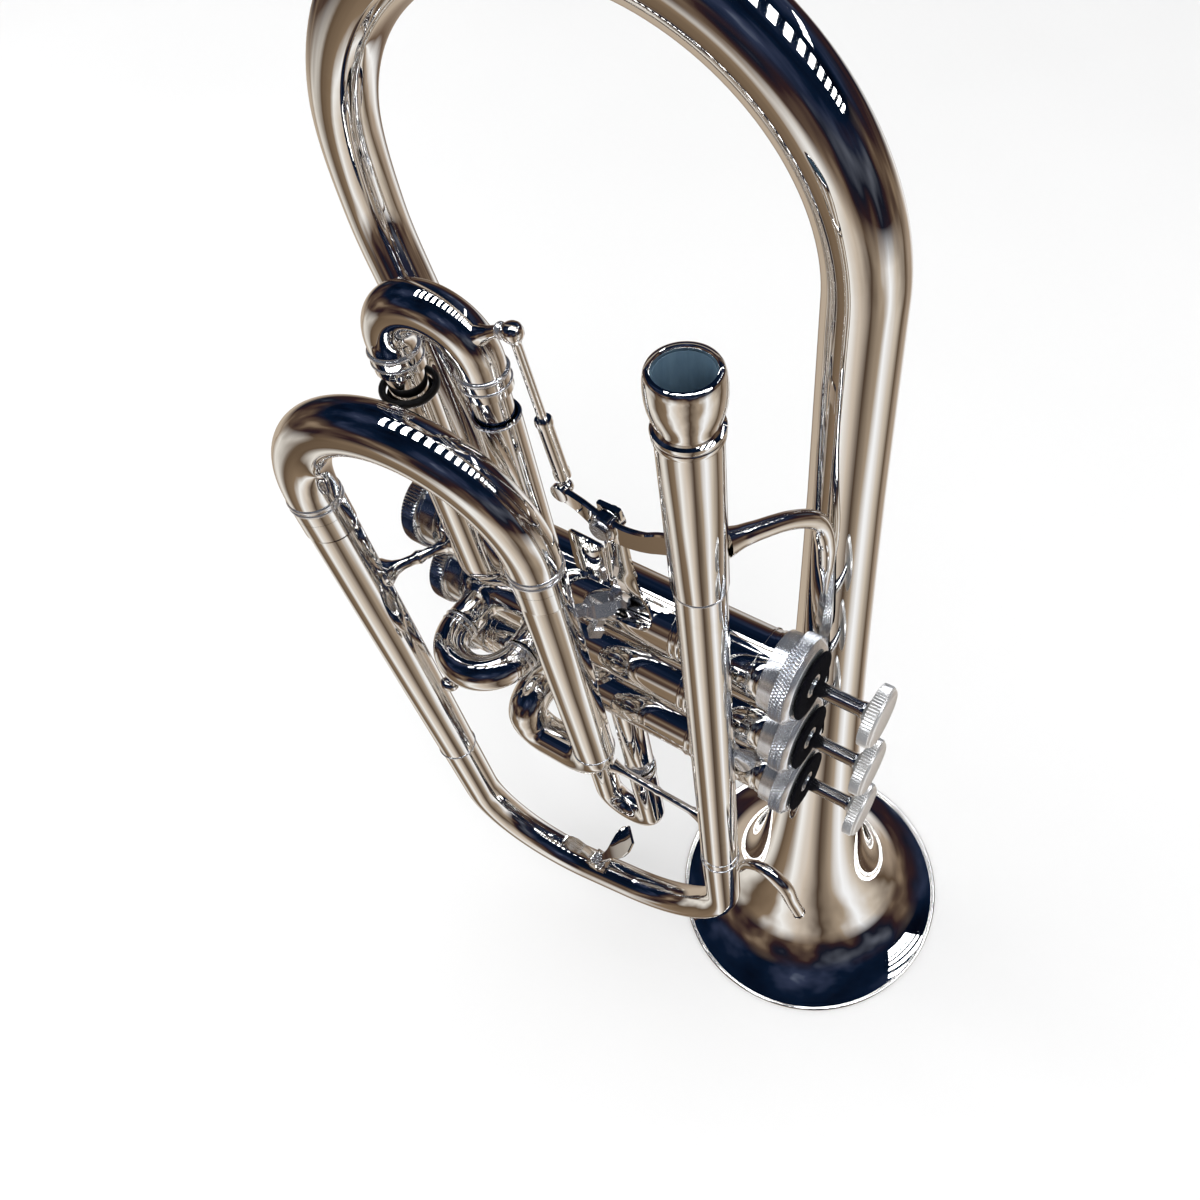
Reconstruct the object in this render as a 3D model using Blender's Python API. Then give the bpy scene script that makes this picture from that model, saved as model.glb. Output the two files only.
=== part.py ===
"""Silver-plated three-piston flugelhorn, standing upright on its bell rim.

Lengths are written in millimetres and turned into metres by at() and MM.
The valve frame has X along the pistons towards the finger buttons, Y towards the
player's left and Z from the bell rim to the mouthpiece; valve 1 is at Y = Z = 0.
"""
from math import cos, pi, sin, sqrt

import bmesh
import bpy
from mathutils import Vector

MM = 0.001
GAP = 0.3                 # clearance between two pieces that touch
WALL = 0.7                # tube wall

# Where the valve frame's origin lies above the middle of the object's footprint
ORIGIN_X, ORIGIN_Y, ORIGIN_Z = 42.8, -21.4, 213.5

# Valves
VALVE_PITCH = 28.0
CASING_TOP, CASING_BOTTOM = -6.0, -124.0
CASING_R, CASING_BORE = 9.5, 8.7
CAP_R, CAP_SKIRT_R = 12.5, 11.0
TOP_CAP_DEPTH, BOTTOM_CAP_START, BOTTOM_CAP_END = 10.5, 117.0, 131.0
VENT_R = 2.0              # hole in the middle of a bottom cap
FELT_R, FELT_BORE, FELT_HALF, FELT_LIFT = 9.7, 3.6, 0.8, 0.1
STEM_R, STEM_TOP = 2.1, 14.7
BUTTON_R, BUTTON_BASE, BUTTON_TOP = 8.5, 15.0, 20.1
PISTON_R, PISTON_TOP, PISTON_BOTTOM = 8.3, -10.0, -76.0
PISTON_TRAVEL = 13.5
PORT_R = 3.2              # air passages through a piston
TUBE_PORT_R = 4.8         # holes in the casing walls
PORT_REACH = 10.0         # how far a passage's cutter runs out from the valve's axis
KNUCKLE_R, KNUCKLE_BORE = 5.9, 4.9
KNUCKLE_REACH = 6.5       # from a valve's axis to a knuckle's uncut end
SPRING_R, SPRING_WIRE, SPRING_TURNS = 6.4, 0.45, 5
SPRING_TOP, SPRING_BOTTOM = -77.0, -124.5

# Where the air passages meet the casings, along the pistons
PORT_BELL = -100.0
PORT_KNUCKLE_12, PORT_KNUCKLE_23 = -84.0, -74.0
PORT_FIRST = (-98.0, -76.2)
PORT_SECOND = (-110.5, -87.5)
PORT_THIRD = (-92.0, -70.0)
PORT_INLET = -91.0

# Leadpipe, front bow and main tuning slide
LEADPIPE_X, LEADPIPE_FRONT_X, LEADPIPE_Y = -17.5, -21.3, -18.5
RECEIVER_TOP, RECEIVER_RING, RECEIVER_END = 109.5, 97.0, 52.5
BOW_TOP, BOW_BOTTOM, BOW_BEND = -103.0, -181.0, 44.0
BOW_R, BOW_BORE = 6.4, 5.6
LOWER_X, LOWER_Y = -127.8, -30.8
UPPER_X, UPPER_Y = -64.1, -21.5
MAIN_TUBE_R, MAIN_LEG_R, CROOK_R, FERRULE_R = 6.6, 5.6, 6.8, 7.2
MAIN_TUBE_END, MAIN_FERRULE, MAIN_CROOK = 22.0, 22.3, 29.0
MAIN_STRAIGHT = 5.0       # straight stretch of the crook above its ferrules
MAIN_LEG_END = -38.0
UPPER_TUBE_END = -60.0
INLET_R, INLET_BORE, INLET_Z = 6.3, 5.5, -71.0
INLET_BENDS = (10.0, 7.5, 6.8)

# Valve slides: tube, inner leg and ferrule radii
SLIDE_TUBE_R, SLIDE_LEG_R, SLIDE_CROOK_R, SLIDE_FERRULE_R = 5.5, 4.5, 5.4, 5.9
SLEEVE_WALL = 0.6
FIRST_LOWER_Y, FIRST_UPPER_Y = -12.2, -8.8
FIRST_TUBE_END, FIRST_FERRULE, FIRST_CROOK = 66.0, 73.0, 77.5
FIRST_STRAIGHT = 2.5      # straight stretch of the crook above its ferrules
FIRST_LEG_END = 25.0
SECOND_TUBE_END, SECOND_CROOK = -17.0, -19.0
THIRD_Y = 2.0
THIRD_TUBE_END, THIRD_CROOK, THIRD_END = -118.0, -121.5, -161.0

# Bell: the bore widens as (BELL_SOFT / (s + BELL_SOFT)) ** BELL_POWER along s from the rim
BELL_X, BELL_Y = -6.4, 25.0
BELL_RIM, BELL_STRAIGHT_TOP = -213.5, 97.0
BELL_RIM_R, BELL_SOFT, BELL_POWER = 55.2, 13.0, 0.6
BOW_REACH, BOW_HEIGHT = 58.8, 53.0
BOW_SWAY = 5.0            # how far the rear bow comes to the right over its reach
BOW_START_R, BOW_END_R = 8.3, 7.3
RIM_BEAD, RIM_FOLD = 0.6, 1.6
BRANCH_R = 6.2

KEY_X = -80.0             # the water key's pivot, at the bottom of the front bow

# First-slide trigger, an open linkage: lever, rod and the ball on the slide
PIVOT = (-49.5, -10.5, 45.0)
ROD_BALL = (-64.8, -8.4, 91.5)
LEVER_BALL = (-60.7, -8.4, 50.2)


def at(x, y, z):
    """A point of the valve frame, in metres above the middle of the footprint."""
    return Vector(((x + ORIGIN_X) * MM, (y + ORIGIN_Y) * MM, (z + ORIGIN_Z) * MM))


def clear_scene():
    for obj in list(bpy.data.objects):
        bpy.data.objects.remove(obj, do_unlink=True)


def material(name, colour, metallic, roughness):
    made = bpy.data.materials.new(name)
    made.use_nodes = True
    shader = made.node_tree.nodes["Principled BSDF"]
    shader.inputs["Base Color"].default_value = (*colour, 1.0)
    shader.inputs["Metallic"].default_value = metallic
    shader.inputs["Roughness"].default_value = roughness
    return made


# ---------------------------------------------------------------- paths

def half_turn(start, end, toward, steps=12):
    """Points of a half circle from start to end that bulges along toward."""
    start, end = Vector(start), Vector(end)
    middle = (start + end) / 2
    spoke = start - middle
    rise = Vector(toward).normalized() * spoke.length
    return [middle + spoke * cos(pi * i / steps) + rise * sin(pi * i / steps)
            for i in range(steps + 1)]


def rounded(corners, bends, steps=5):
    """A polyline with each inner corner replaced by an arc of the given radius."""
    corners = [Vector(corner) for corner in corners]
    path = [corners[0]]
    for before, corner, after, bend in zip(corners, corners[1:], corners[2:], bends):
        into = (before - corner).normalized()
        out = (after - corner).normalized()
        angle = into.angle(out)
        reach = bend / sqrt((1 - cos(angle)) / (1 + cos(angle)))
        middle = corner + (into + out).normalized() * sqrt(reach ** 2 + bend ** 2)
        spoke_in = corner + into * reach - middle
        spoke_out = corner + out * reach - middle
        sweep = spoke_in.angle(spoke_out)
        for i in range(steps + 1):
            t = i / steps
            path.append(middle + (spoke_in * sin((1 - t) * sweep)
                                  + spoke_out * sin(t * sweep)) / sin(sweep))
    path.append(corners[-1])
    return path


def smooth(points, steps=4):
    """A Catmull-Rom curve through the given points."""
    points = [Vector(point) for point in points]
    ends = [2 * points[0] - points[1]] + points + [2 * points[-1] - points[-2]]
    path = []
    for a, b, c, d in zip(ends, ends[1:], ends[2:], ends[3:]):
        for i in range(steps):
            t = i / steps
            path.append(0.5 * (2 * b + (c - a) * t + (2 * a - 5 * b + 4 * c - d) * t ** 2
                               + (3 * b - a - 3 * c + d) * t ** 3))
    path.append(points[-1])
    return path


def end_tangent(first, second, third):
    """The tangent at first: of a parabola if the points are evenly spaced, else a chord."""
    near, far = (second - first).length, (third - second).length
    if abs(near - far) < 0.05 * near:
        return (4 * second - 3 * first - third).normalized()
    return (second - first).normalized()


def directions(path):
    """The tangent at each point of a path, and a side vector carried along it."""
    tangents = [(after - before).normalized() for before, after in zip(path, path[2:])]
    if tangents:
        tangents.insert(0, end_tangent(*path[:3]))
        tangents.append(-end_tangent(*path[:-4:-1]))
    else:
        tangents = [(path[1] - path[0]).normalized()] * 2
    least = min(range(3), key=lambda axis: abs(tangents[0][axis]))
    unit = Vector([float(axis == least) for axis in range(3)])
    side = tangents[0].cross(unit).normalized()
    sides = [side]
    for before, after in zip(tangents, tangents[1:]):
        side = before.rotation_difference(after) @ side
        side = (side - after * side.dot(after)).normalized()
        sides.append(side)
    return tangents, sides


# ---------------------------------------------------------------- solids

def add_object(name, mesh_tool, finish, parent, sharp=40):
    """Turn a bmesh in valve-frame millimetres into an object on its joint's axis."""
    bmesh.ops.recalc_face_normals(mesh_tool, faces=mesh_tool.faces)
    base = parent.location if parent else Vector((0, 0, 0))
    for vertex in mesh_tool.verts:
        vertex.co = at(*vertex.co) - base
    mesh = bpy.data.meshes.new(name)
    mesh_tool.to_mesh(mesh)
    mesh_tool.free()
    mesh.shade_smooth()
    mesh.set_sharp_from_angle(angle=sharp * pi / 180)
    obj = bpy.data.objects.new(name, mesh)
    bpy.context.collection.objects.link(obj)
    obj.parent = parent
    if finish:
        mesh.materials.append(finish)
    return obj


def ring_of(mesh_tool, centre, tangent, side, radius, sides):
    up = tangent.cross(side)
    return [mesh_tool.verts.new(centre + (side * cos(2 * pi * k / sides)
                                          + up * sin(2 * pi * k / sides)) * radius)
            for k in range(sides)]


def skin(mesh_tool, rings, closed):
    """Join neighbouring rings of vertices by quads."""
    pairs = list(zip(rings, rings[1:]))
    if closed:
        pairs.append((rings[-1], rings[0]))
    for first, second in pairs:
        for k in range(len(first)):
            n = (k + 1) % len(first)
            mesh_tool.faces.new((first[k], first[n], second[n], second[k]))


def radius_list(radius, count):
    return list(radius) if isinstance(radius, (list, tuple)) else [radius] * count


def tube(name, path, outer, bore, finish, parent=None, sides=16):
    """An open tube along a path; outer and bore are radii, or one radius a point."""
    path = [Vector(point) for point in path]
    tangents, spokes = directions(path)
    outer = radius_list(outer, len(path))
    bore = radius_list(bore, len(path))
    mesh_tool = bmesh.new()
    skins = [[ring_of(mesh_tool, path[i], tangents[i], spokes[i], radii[i], sides)
              for i in range(len(path))] for radii in (outer, bore)]
    skin(mesh_tool, skins[0] + skins[1][::-1], closed=True)
    return add_object(name, mesh_tool, finish, parent)


def rod(name, path, radius, finish, parent=None, sides=10):
    """A solid round bar along a path; radius may be one value a point."""
    path = [Vector(point) for point in path]
    tangents, spokes = directions(path)
    radii = radius_list(radius, len(path))
    mesh_tool = bmesh.new()
    rings = [ring_of(mesh_tool, path[i], tangents[i], spokes[i], radii[i], sides)
             for i in range(len(path))]
    skin(mesh_tool, rings, closed=False)
    mesh_tool.faces.new(rings[0])
    mesh_tool.faces.new(rings[-1])
    return add_object(name, mesh_tool, finish, parent)


def bar(name, path, width, thickness, flat_normal, finish, parent=None):
    """A flat bar along a path, thin along flat_normal."""
    path = [Vector(point) for point in path]
    tangents, _ = directions(path)
    normal = Vector(flat_normal).normalized()
    widths = radius_list(width, len(path))
    mesh_tool = bmesh.new()
    rings = []
    for point, tangent, wide in zip(path, tangents, widths):
        across = tangent.cross(normal).normalized() * wide / 2
        thin = across.cross(tangent).normalized() * thickness / 2
        rings.append([mesh_tool.verts.new(point + corner) for corner in
                      (across + thin, across - thin, -across - thin, -across + thin)])
    skin(mesh_tool, rings, closed=False)
    mesh_tool.faces.new(rings[0])
    mesh_tool.faces.new(rings[-1])
    return add_object(name, mesh_tool, finish, parent, sharp=30)


def turned(name, base, axis, profile, finish, parent=None, sides=18, hollow=True):
    """A lathe shape: profile is (distance along axis, radius), closed when hollow."""
    base, axis = Vector(base), Vector(axis).normalized()
    tangents, spokes = directions([base, base + axis])
    mesh_tool = bmesh.new()
    rings = []
    for along, radius in profile:
        rings.append(ring_of(mesh_tool, base + axis * along, tangents[0], spokes[0],
                             radius, sides))
    skin(mesh_tool, rings, closed=hollow)
    if not hollow:
        mesh_tool.faces.new(rings[0])
        mesh_tool.faces.new(rings[-1])
    return add_object(name, mesh_tool, finish, parent, sharp=35)


def combine(obj, other, operation):
    """Cut other out of obj, or join it to obj, with an exact Boolean."""
    other.hide_render = True
    other.display_type = "WIRE"
    change = obj.modifiers.new(other.name, "BOOLEAN")
    change.operation = operation
    change.solver = "EXACT"
    change.object = other


def casing_cutter(number):
    """A cylinder a gap larger than a valve casing, that copes the tubes meeting it."""
    z = -VALVE_PITCH * (number - 1)
    return rod("cutter_casing_%d" % number, [(10, 0, z), (-140, 0, z)],
               CASING_R + GAP, None, sides=24)


def joint_empty(name, place):
    empty = bpy.data.objects.new(name, None)
    empty.empty_display_size = 0.01
    empty.location = at(*place)
    bpy.context.collection.objects.link(empty)
    return empty


# ---------------------------------------------------------------- valves

def direction_of(side):
    """Unit vectors across a casing: right, left, front (to valve 3) and rear."""
    return {"right": Vector((0, -1, 0)), "left": Vector((0, 1, 0)),
            "front": Vector((0, 0, -1)), "rear": Vector((0, 0, 1))}[side]


def make_casing(number, ports, finish):
    z = -VALVE_PITCH * (number - 1)
    profile = [(-CASING_TOP, CASING_BORE), (-CASING_TOP, CASING_R),
               (-CASING_BOTTOM, CASING_R), (-CASING_BOTTOM, CASING_BORE)]
    casing = turned("valve_casing_%d" % number, (0, 0, z), (-1, 0, 0), profile, finish)
    for x, side in ports:
        outward = direction_of(side)
        centre = Vector((x, 0, z))
        hole = rod("cutter_port_%d_%s_%d" % (number, side, -x),
                   [centre + outward * 4, centre + outward * 12], TUBE_PORT_R, None, sides=12)
        combine(casing, hole, "DIFFERENCE")


def make_caps(number, finish, felt_finish):
    z = -VALVE_PITCH * (number - 1)
    grip = CASING_R + GAP
    collar_bore = STEM_R + 0.4
    top = [(TOP_CAP_DEPTH, grip), (TOP_CAP_DEPTH, CAP_SKIRT_R), (8.5, CAP_SKIRT_R),
           (8.5, CAP_R), (3.5, CAP_R), (1.5, 11.3), (1.0, 10.2), (1.0, 3.3), (-0.4, 3.3),
           (-0.4, collar_bore), (3.5, collar_bore), (3.5, grip)]
    turned("top_cap_%d" % number, (0, 0, z), (-1, 0, 0), top, finish)
    felt = [(FELT_HALF, FELT_BORE), (FELT_HALF, FELT_R), (-FELT_HALF, FELT_R),
            (-FELT_HALF, FELT_BORE)]
    turned("cap_felt_%d" % number, (FELT_LIFT, 0, z), (-1, 0, 0), felt, felt_finish)
    bottom = [(BOTTOM_CAP_START, grip), (126, grip), (126, VENT_R), (BOTTOM_CAP_END, VENT_R),
              (BOTTOM_CAP_END, 5.0), (129.5, 9.5), (128, CAP_R), (123, CAP_R),
              (123, CAP_SKIRT_R), (BOTTOM_CAP_START, CAP_SKIRT_R)]
    turned("bottom_cap_%d" % number, (0, 0, z), (-1, 0, 0), bottom, finish)


def make_piston(number, passages, finish, steel):
    z = -VALVE_PITCH * (number - 1)
    body = joint_empty("piston_%d_axis" % number, (0, 0, z))
    shape = [(-PISTON_TOP, 5.0), (-PISTON_TOP + 1, PISTON_R), (-PISTON_BOTTOM, PISTON_R)]
    piston = turned("piston_%d" % number, (0, 0, z), (-1, 0, 0), shape, steel, body,
                    hollow=False)
    for index, (start, end) in enumerate(passages):
        a = Vector((start[0], 0, z)) + direction_of(start[1]) * PORT_REACH
        b = Vector((end[0], 0, z)) + direction_of(end[1]) * PORT_REACH
        bore = rod("cutter_passage_%d_%d" % (number, index), [a, b], PORT_R, None, sides=12)
        combine(piston, bore, "DIFFERENCE")
    rod("piston_stem_%d" % number, [(STEM_TOP, 0, z), (PISTON_TOP + GAP, 0, z)], STEM_R,
        finish, body, sides=12)
    button = [(BUTTON_BASE, 2.6), (BUTTON_BASE + 0.8, 3.4), (BUTTON_BASE + 1.3, 7.9),
              (BUTTON_BASE + 1.8, BUTTON_R), (BUTTON_TOP - 0.9, BUTTON_R),
              (BUTTON_TOP - 0.3, 8.0), (BUTTON_TOP, 7.2)]
    turned("finger_button_%d" % number, (0, 0, z), (1, 0, 0), button, finish, body,
           hollow=False)
    turns = 8 * SPRING_TURNS
    coil = [Vector((SPRING_TOP + (SPRING_BOTTOM - SPRING_TOP) * i / turns,
                    SPRING_R * cos(pi * i / 4), z + SPRING_R * sin(pi * i / 4)))
            for i in range(turns + 1)]
    rod("valve_spring_%d" % number, coil, SPRING_WIRE, steel, sides=5)


def make_knuckle(name, x, front_valve, finish, cutters):
    """A short tube from one casing to the next, coped to both."""
    start = -VALVE_PITCH * (front_valve - 2) - KNUCKLE_REACH
    end = -VALVE_PITCH * (front_valve - 1) + KNUCKLE_REACH
    knuckle = tube(name, [(x, 0, start), (x, 0, end)], KNUCKLE_R, KNUCKLE_BORE, finish)
    combine(knuckle, cutters[front_valve - 2], "DIFFERENCE")
    combine(knuckle, cutters[front_valve - 1], "DIFFERENCE")


def passages(inlet, outlet, slide):
    """Straight through at rest; down through the slide when the piston is pressed."""
    def shifted(port):
        return (port[0] + PISTON_TRAVEL, port[1])
    return [(inlet, outlet), (shifted(inlet), shifted(slide[0])),
            (shifted(slide[1]), shifted(outlet))]


def make_valves(plate, lathe_plate, felt, steel, cutters):
    inlets = {1: (PORT_KNUCKLE_12, "front"), 2: (PORT_KNUCKLE_23, "front"),
              3: (PORT_INLET, "right")}
    outlets = {1: (PORT_BELL, "rear"), 2: (PORT_KNUCKLE_12, "rear"),
               3: (PORT_KNUCKLE_23, "rear")}
    slides = {1: [(PORT_FIRST[1], "right"), (PORT_FIRST[0], "right")],
              2: [(PORT_SECOND[1], "right"), (PORT_SECOND[0], "right")],
              3: [(PORT_THIRD[0], "front"), (PORT_THIRD[1], "front")]}
    for number in (1, 2, 3):
        make_casing(number, [inlets[number], outlets[number]] + slides[number], plate)
        make_caps(number, lathe_plate, felt)
        make_piston(number, passages(inlets[number], outlets[number], slides[number]),
                    lathe_plate, steel)
    make_knuckle("knuckle_1_2", PORT_KNUCKLE_12, 2, plate, cutters)
    make_knuckle("knuckle_2_3", PORT_KNUCKLE_23, 3, plate, cutters)


# ---------------------------------------------------------------- wrap

def leadpipe_x(z):
    """The leadpipe leans: its distance along X at height z."""
    share = (RECEIVER_TOP - z) / (RECEIVER_TOP - BOW_TOP)
    return LEADPIPE_X + (LEADPIPE_FRONT_X - LEADPIPE_X) * share


def on_leadpipe(z):
    return Vector((leadpipe_x(z), LEADPIPE_Y, z))


def make_leadpipe(plate):
    heights = [RECEIVER_TOP, RECEIVER_TOP - 0.8, 106, 102.5, 99.5, 97.8, RECEIVER_RING,
               RECEIVER_RING - 2.2, RECEIVER_RING - 2.3, RECEIVER_END]
    outer = [6.3, 6.7, 7.0, 6.9, 6.4, 5.9, 6.5, 6.5, 6.2, 6.2]
    bore = [5.3, 5.2, 5.1, 5.0, 4.9, 4.8, 4.8, 4.7, 4.7, 4.5]
    tube("mouthpiece_receiver", [on_leadpipe(z) for z in heights], outer, bore, plate)
    tube("leadpipe", [on_leadpipe(z) for z in (RECEIVER_END - GAP, 0, BOW_TOP)],
         [5.7, 5.9, 6.3], [4.6, 4.8, 5.4], plate)
    front = on_leadpipe(BOW_TOP - GAP)
    lower = Vector((LOWER_X, LOWER_Y, BOW_TOP - GAP))
    route = rounded([front, (front.x - 0.8, front.y, BOW_BOTTOM),
                     (lower.x, lower.y, BOW_BOTTOM), lower], [BOW_BEND, BOW_BEND], 6)
    tube("front_bow", route, BOW_R, BOW_BORE, plate, sides=14)


def slide_leg(name, x, y, end, ferrule, top, leg_r, ferrule_r, finish, parent=None):
    """An inner slide tube with the ferrule that joins it to its crook."""
    profile = [(end, leg_r - WALL), (end, leg_r), (ferrule, leg_r), (ferrule, ferrule_r),
               (top, ferrule_r), (top, leg_r - WALL)]
    return turned(name, (x, y, 0), (0, 0, 1), profile, finish, parent, sides=16)


def make_main_slide(plate, cutters):
    tube("lower_tube", [(LOWER_X, LOWER_Y, BOW_TOP), (LOWER_X, LOWER_Y, MAIN_TUBE_END)],
         MAIN_TUBE_R, MAIN_TUBE_R - WALL, plate)
    tube("main_slide_outer_tube", [(UPPER_X, UPPER_Y, MAIN_TUBE_END),
                                   (UPPER_X, UPPER_Y, UPPER_TUBE_END)],
         MAIN_TUBE_R, MAIN_TUBE_R - WALL, plate)
    slide = joint_empty("main_slide_axis", (UPPER_X, UPPER_Y, MAIN_CROOK))
    for name, x, y in (("main_slide_lower_leg", LOWER_X, LOWER_Y),
                       ("main_slide_upper_leg", UPPER_X, UPPER_Y)):
        slide_leg(name, x, y, MAIN_LEG_END, MAIN_FERRULE, MAIN_CROOK - GAP, MAIN_LEG_R,
                  FERRULE_R, plate, slide)
    bend_z = MAIN_CROOK + MAIN_STRAIGHT
    crook = ([Vector((LOWER_X, LOWER_Y, MAIN_CROOK))]
             + half_turn((LOWER_X, LOWER_Y, bend_z), (UPPER_X, UPPER_Y, bend_z), (0, 0, 1), 12)
             + [Vector((UPPER_X, UPPER_Y, MAIN_CROOK))])
    tube("main_slide_crook", crook, CROOK_R, CROOK_R - WALL, plate, slide, sides=14)
    z3 = -2 * VALVE_PITCH
    route = rounded([(UPPER_X, UPPER_Y, UPPER_TUBE_END - GAP), (UPPER_X, UPPER_Y, INLET_Z),
                     (PORT_INLET, UPPER_Y, INLET_Z), (PORT_INLET, UPPER_Y, z3),
                     (PORT_INLET, 0, z3)], INLET_BENDS, 4)
    turn = tube("third_valve_knuckle", route, INLET_R, INLET_BORE, plate, sides=12)
    combine(turn, cutters[2], "DIFFERENCE")


def make_first_slide(plate, rubber, cutters):
    places = (("lower", PORT_FIRST[0], FIRST_LOWER_Y, 6.5),
              ("upper", PORT_FIRST[1], FIRST_UPPER_Y, 5.5))
    slide = joint_empty("first_slide_axis", (PORT_FIRST[1], FIRST_UPPER_Y, FIRST_CROOK))
    for side, x, y, bend in places:
        route = rounded([(x, y, FIRST_TUBE_END), (x, y, 0), (x, 0, 0)], [bend])
        sleeve = tube("first_slide_%s_sleeve" % side, route, SLIDE_TUBE_R,
                      SLIDE_TUBE_R - SLEEVE_WALL, plate, sides=12)
        combine(sleeve, cutters[0], "DIFFERENCE")
        slide_leg("first_slide_%s_leg" % side, x, y, FIRST_LEG_END, FIRST_FERRULE,
                  FIRST_CROOK - GAP, SLIDE_LEG_R, SLIDE_FERRULE_R, plate, slide)
    bend_z = FIRST_CROOK + FIRST_STRAIGHT
    route = ([Vector((PORT_FIRST[0], FIRST_LOWER_Y, FIRST_CROOK))]
             + half_turn((PORT_FIRST[0], FIRST_LOWER_Y, bend_z),
                         (PORT_FIRST[1], FIRST_UPPER_Y, bend_z), (0, 0, 1), 10)
             + [Vector((PORT_FIRST[1], FIRST_UPPER_Y, FIRST_CROOK))])
    crook = tube("first_slide_crook", route, SLIDE_CROOK_R, SLIDE_CROOK_R - WALL, plate,
                 slide, sides=12)
    ball = Vector(ROD_BALL)
    post = rod("cutter_ball_post", [ball + Vector((-8.6, -0.5, -3.5)),
                                    ball + Vector((-4.6, -0.2, -1.4)),
                                    ball + Vector((-2.7, 0, -0.4))], 1.3, None, sides=8)
    combine(crook, post, "UNION")
    bumper = [(0, SLIDE_LEG_R + GAP), (0, 6.2), (0.5, 6.9), (1.5, 6.9), (2.0, 6.2),
              (2.0, SLIDE_LEG_R + GAP)]
    turned("first_slide_bumper", (PORT_FIRST[0], FIRST_LOWER_Y, FIRST_TUBE_END + GAP),
           (0, 0, 1), bumper, rubber, slide, sides=16)


def make_second_slide(plate, cutters):
    z = -VALVE_PITCH
    slide = joint_empty("second_slide_axis", (PORT_SECOND[1], SECOND_CROOK, z))
    for side, x in (("lower", PORT_SECOND[0]), ("upper", PORT_SECOND[1])):
        sleeve = tube("second_slide_%s_sleeve" % side, [(x, -6, z), (x, SECOND_TUBE_END, z)],
                      SLIDE_TUBE_R, SLIDE_TUBE_R - SLEEVE_WALL, plate, sides=12)
        combine(sleeve, cutters[1], "DIFFERENCE")
    bend = half_turn((PORT_SECOND[0], SECOND_CROOK, z), (PORT_SECOND[1], SECOND_CROOK, z),
                     (0, -1, 0), 8)
    inner = -10.6
    path = ([(PORT_SECOND[0], inner, z), (PORT_SECOND[0], SECOND_TUBE_END - 0.6, z),
             (PORT_SECOND[0], SECOND_TUBE_END - 0.7, z)] + bend
            + [(PORT_SECOND[1], SECOND_TUBE_END - 0.7, z),
               (PORT_SECOND[1], SECOND_TUBE_END - 0.6, z), (PORT_SECOND[1], inner, z)])
    leg = SLIDE_LEG_R
    outer = [leg, leg, SLIDE_FERRULE_R] + [SLIDE_CROOK_R] * len(bend) + [SLIDE_FERRULE_R, leg, leg]
    tube("second_slide_crook", path, outer, leg - WALL, plate, slide, sides=12)


def make_third_slide(plate, cutters):
    z3 = -2 * VALVE_PITCH
    slide = joint_empty("third_slide_axis", (PORT_THIRD[1], THIRD_Y, THIRD_CROOK))
    for side, x in (("lower", PORT_THIRD[0]), ("upper", PORT_THIRD[1])):
        sleeve = tube("third_slide_%s_sleeve" % side,
                      [(x, THIRD_Y, z3 - 6), (x, THIRD_Y, THIRD_TUBE_END)],
                      SLIDE_TUBE_R, SLIDE_TUBE_R - SLEEVE_WALL, plate, sides=12)
        combine(sleeve, cutters[2], "DIFFERENCE")
    bend = half_turn((PORT_THIRD[0], THIRD_Y, THIRD_END), (PORT_THIRD[1], THIRD_Y, THIRD_END),
                     (0, 0, -1), 8)
    leg, tip = SLIDE_LEG_R, -72.0

    def limb(x):
        return [(x, THIRD_Y, z) for z in (tip, THIRD_TUBE_END - 0.9, THIRD_TUBE_END - 1.0,
                                          THIRD_CROOK - 3.0, THIRD_CROOK - 3.1)]
    path = limb(PORT_THIRD[0]) + bend + limb(PORT_THIRD[1])[::-1]
    limb_r = [leg, leg, SLIDE_FERRULE_R, SLIDE_FERRULE_R, SLIDE_CROOK_R]
    outer = limb_r + [SLIDE_CROOK_R] * len(bend) + limb_r[::-1]
    tube("third_slide_crook", path, outer, leg - WALL, plate, slide, sides=12)


# ---------------------------------------------------------------- bell

def bell_radius(s):
    return BELL_RIM_R * (BELL_SOFT / (s + BELL_SOFT)) ** BELL_POWER


def bow_point(angle):
    """A point of the rear bow, from the bell's end (0) over the top (pi / 2)."""
    across = (1 - cos(angle)) * BOW_REACH
    return Vector((BELL_X - across, BELL_Y - BOW_SWAY * across / BOW_REACH,
                   BELL_STRAIGHT_TOP + BOW_HEIGHT * sin(angle)))


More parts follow.
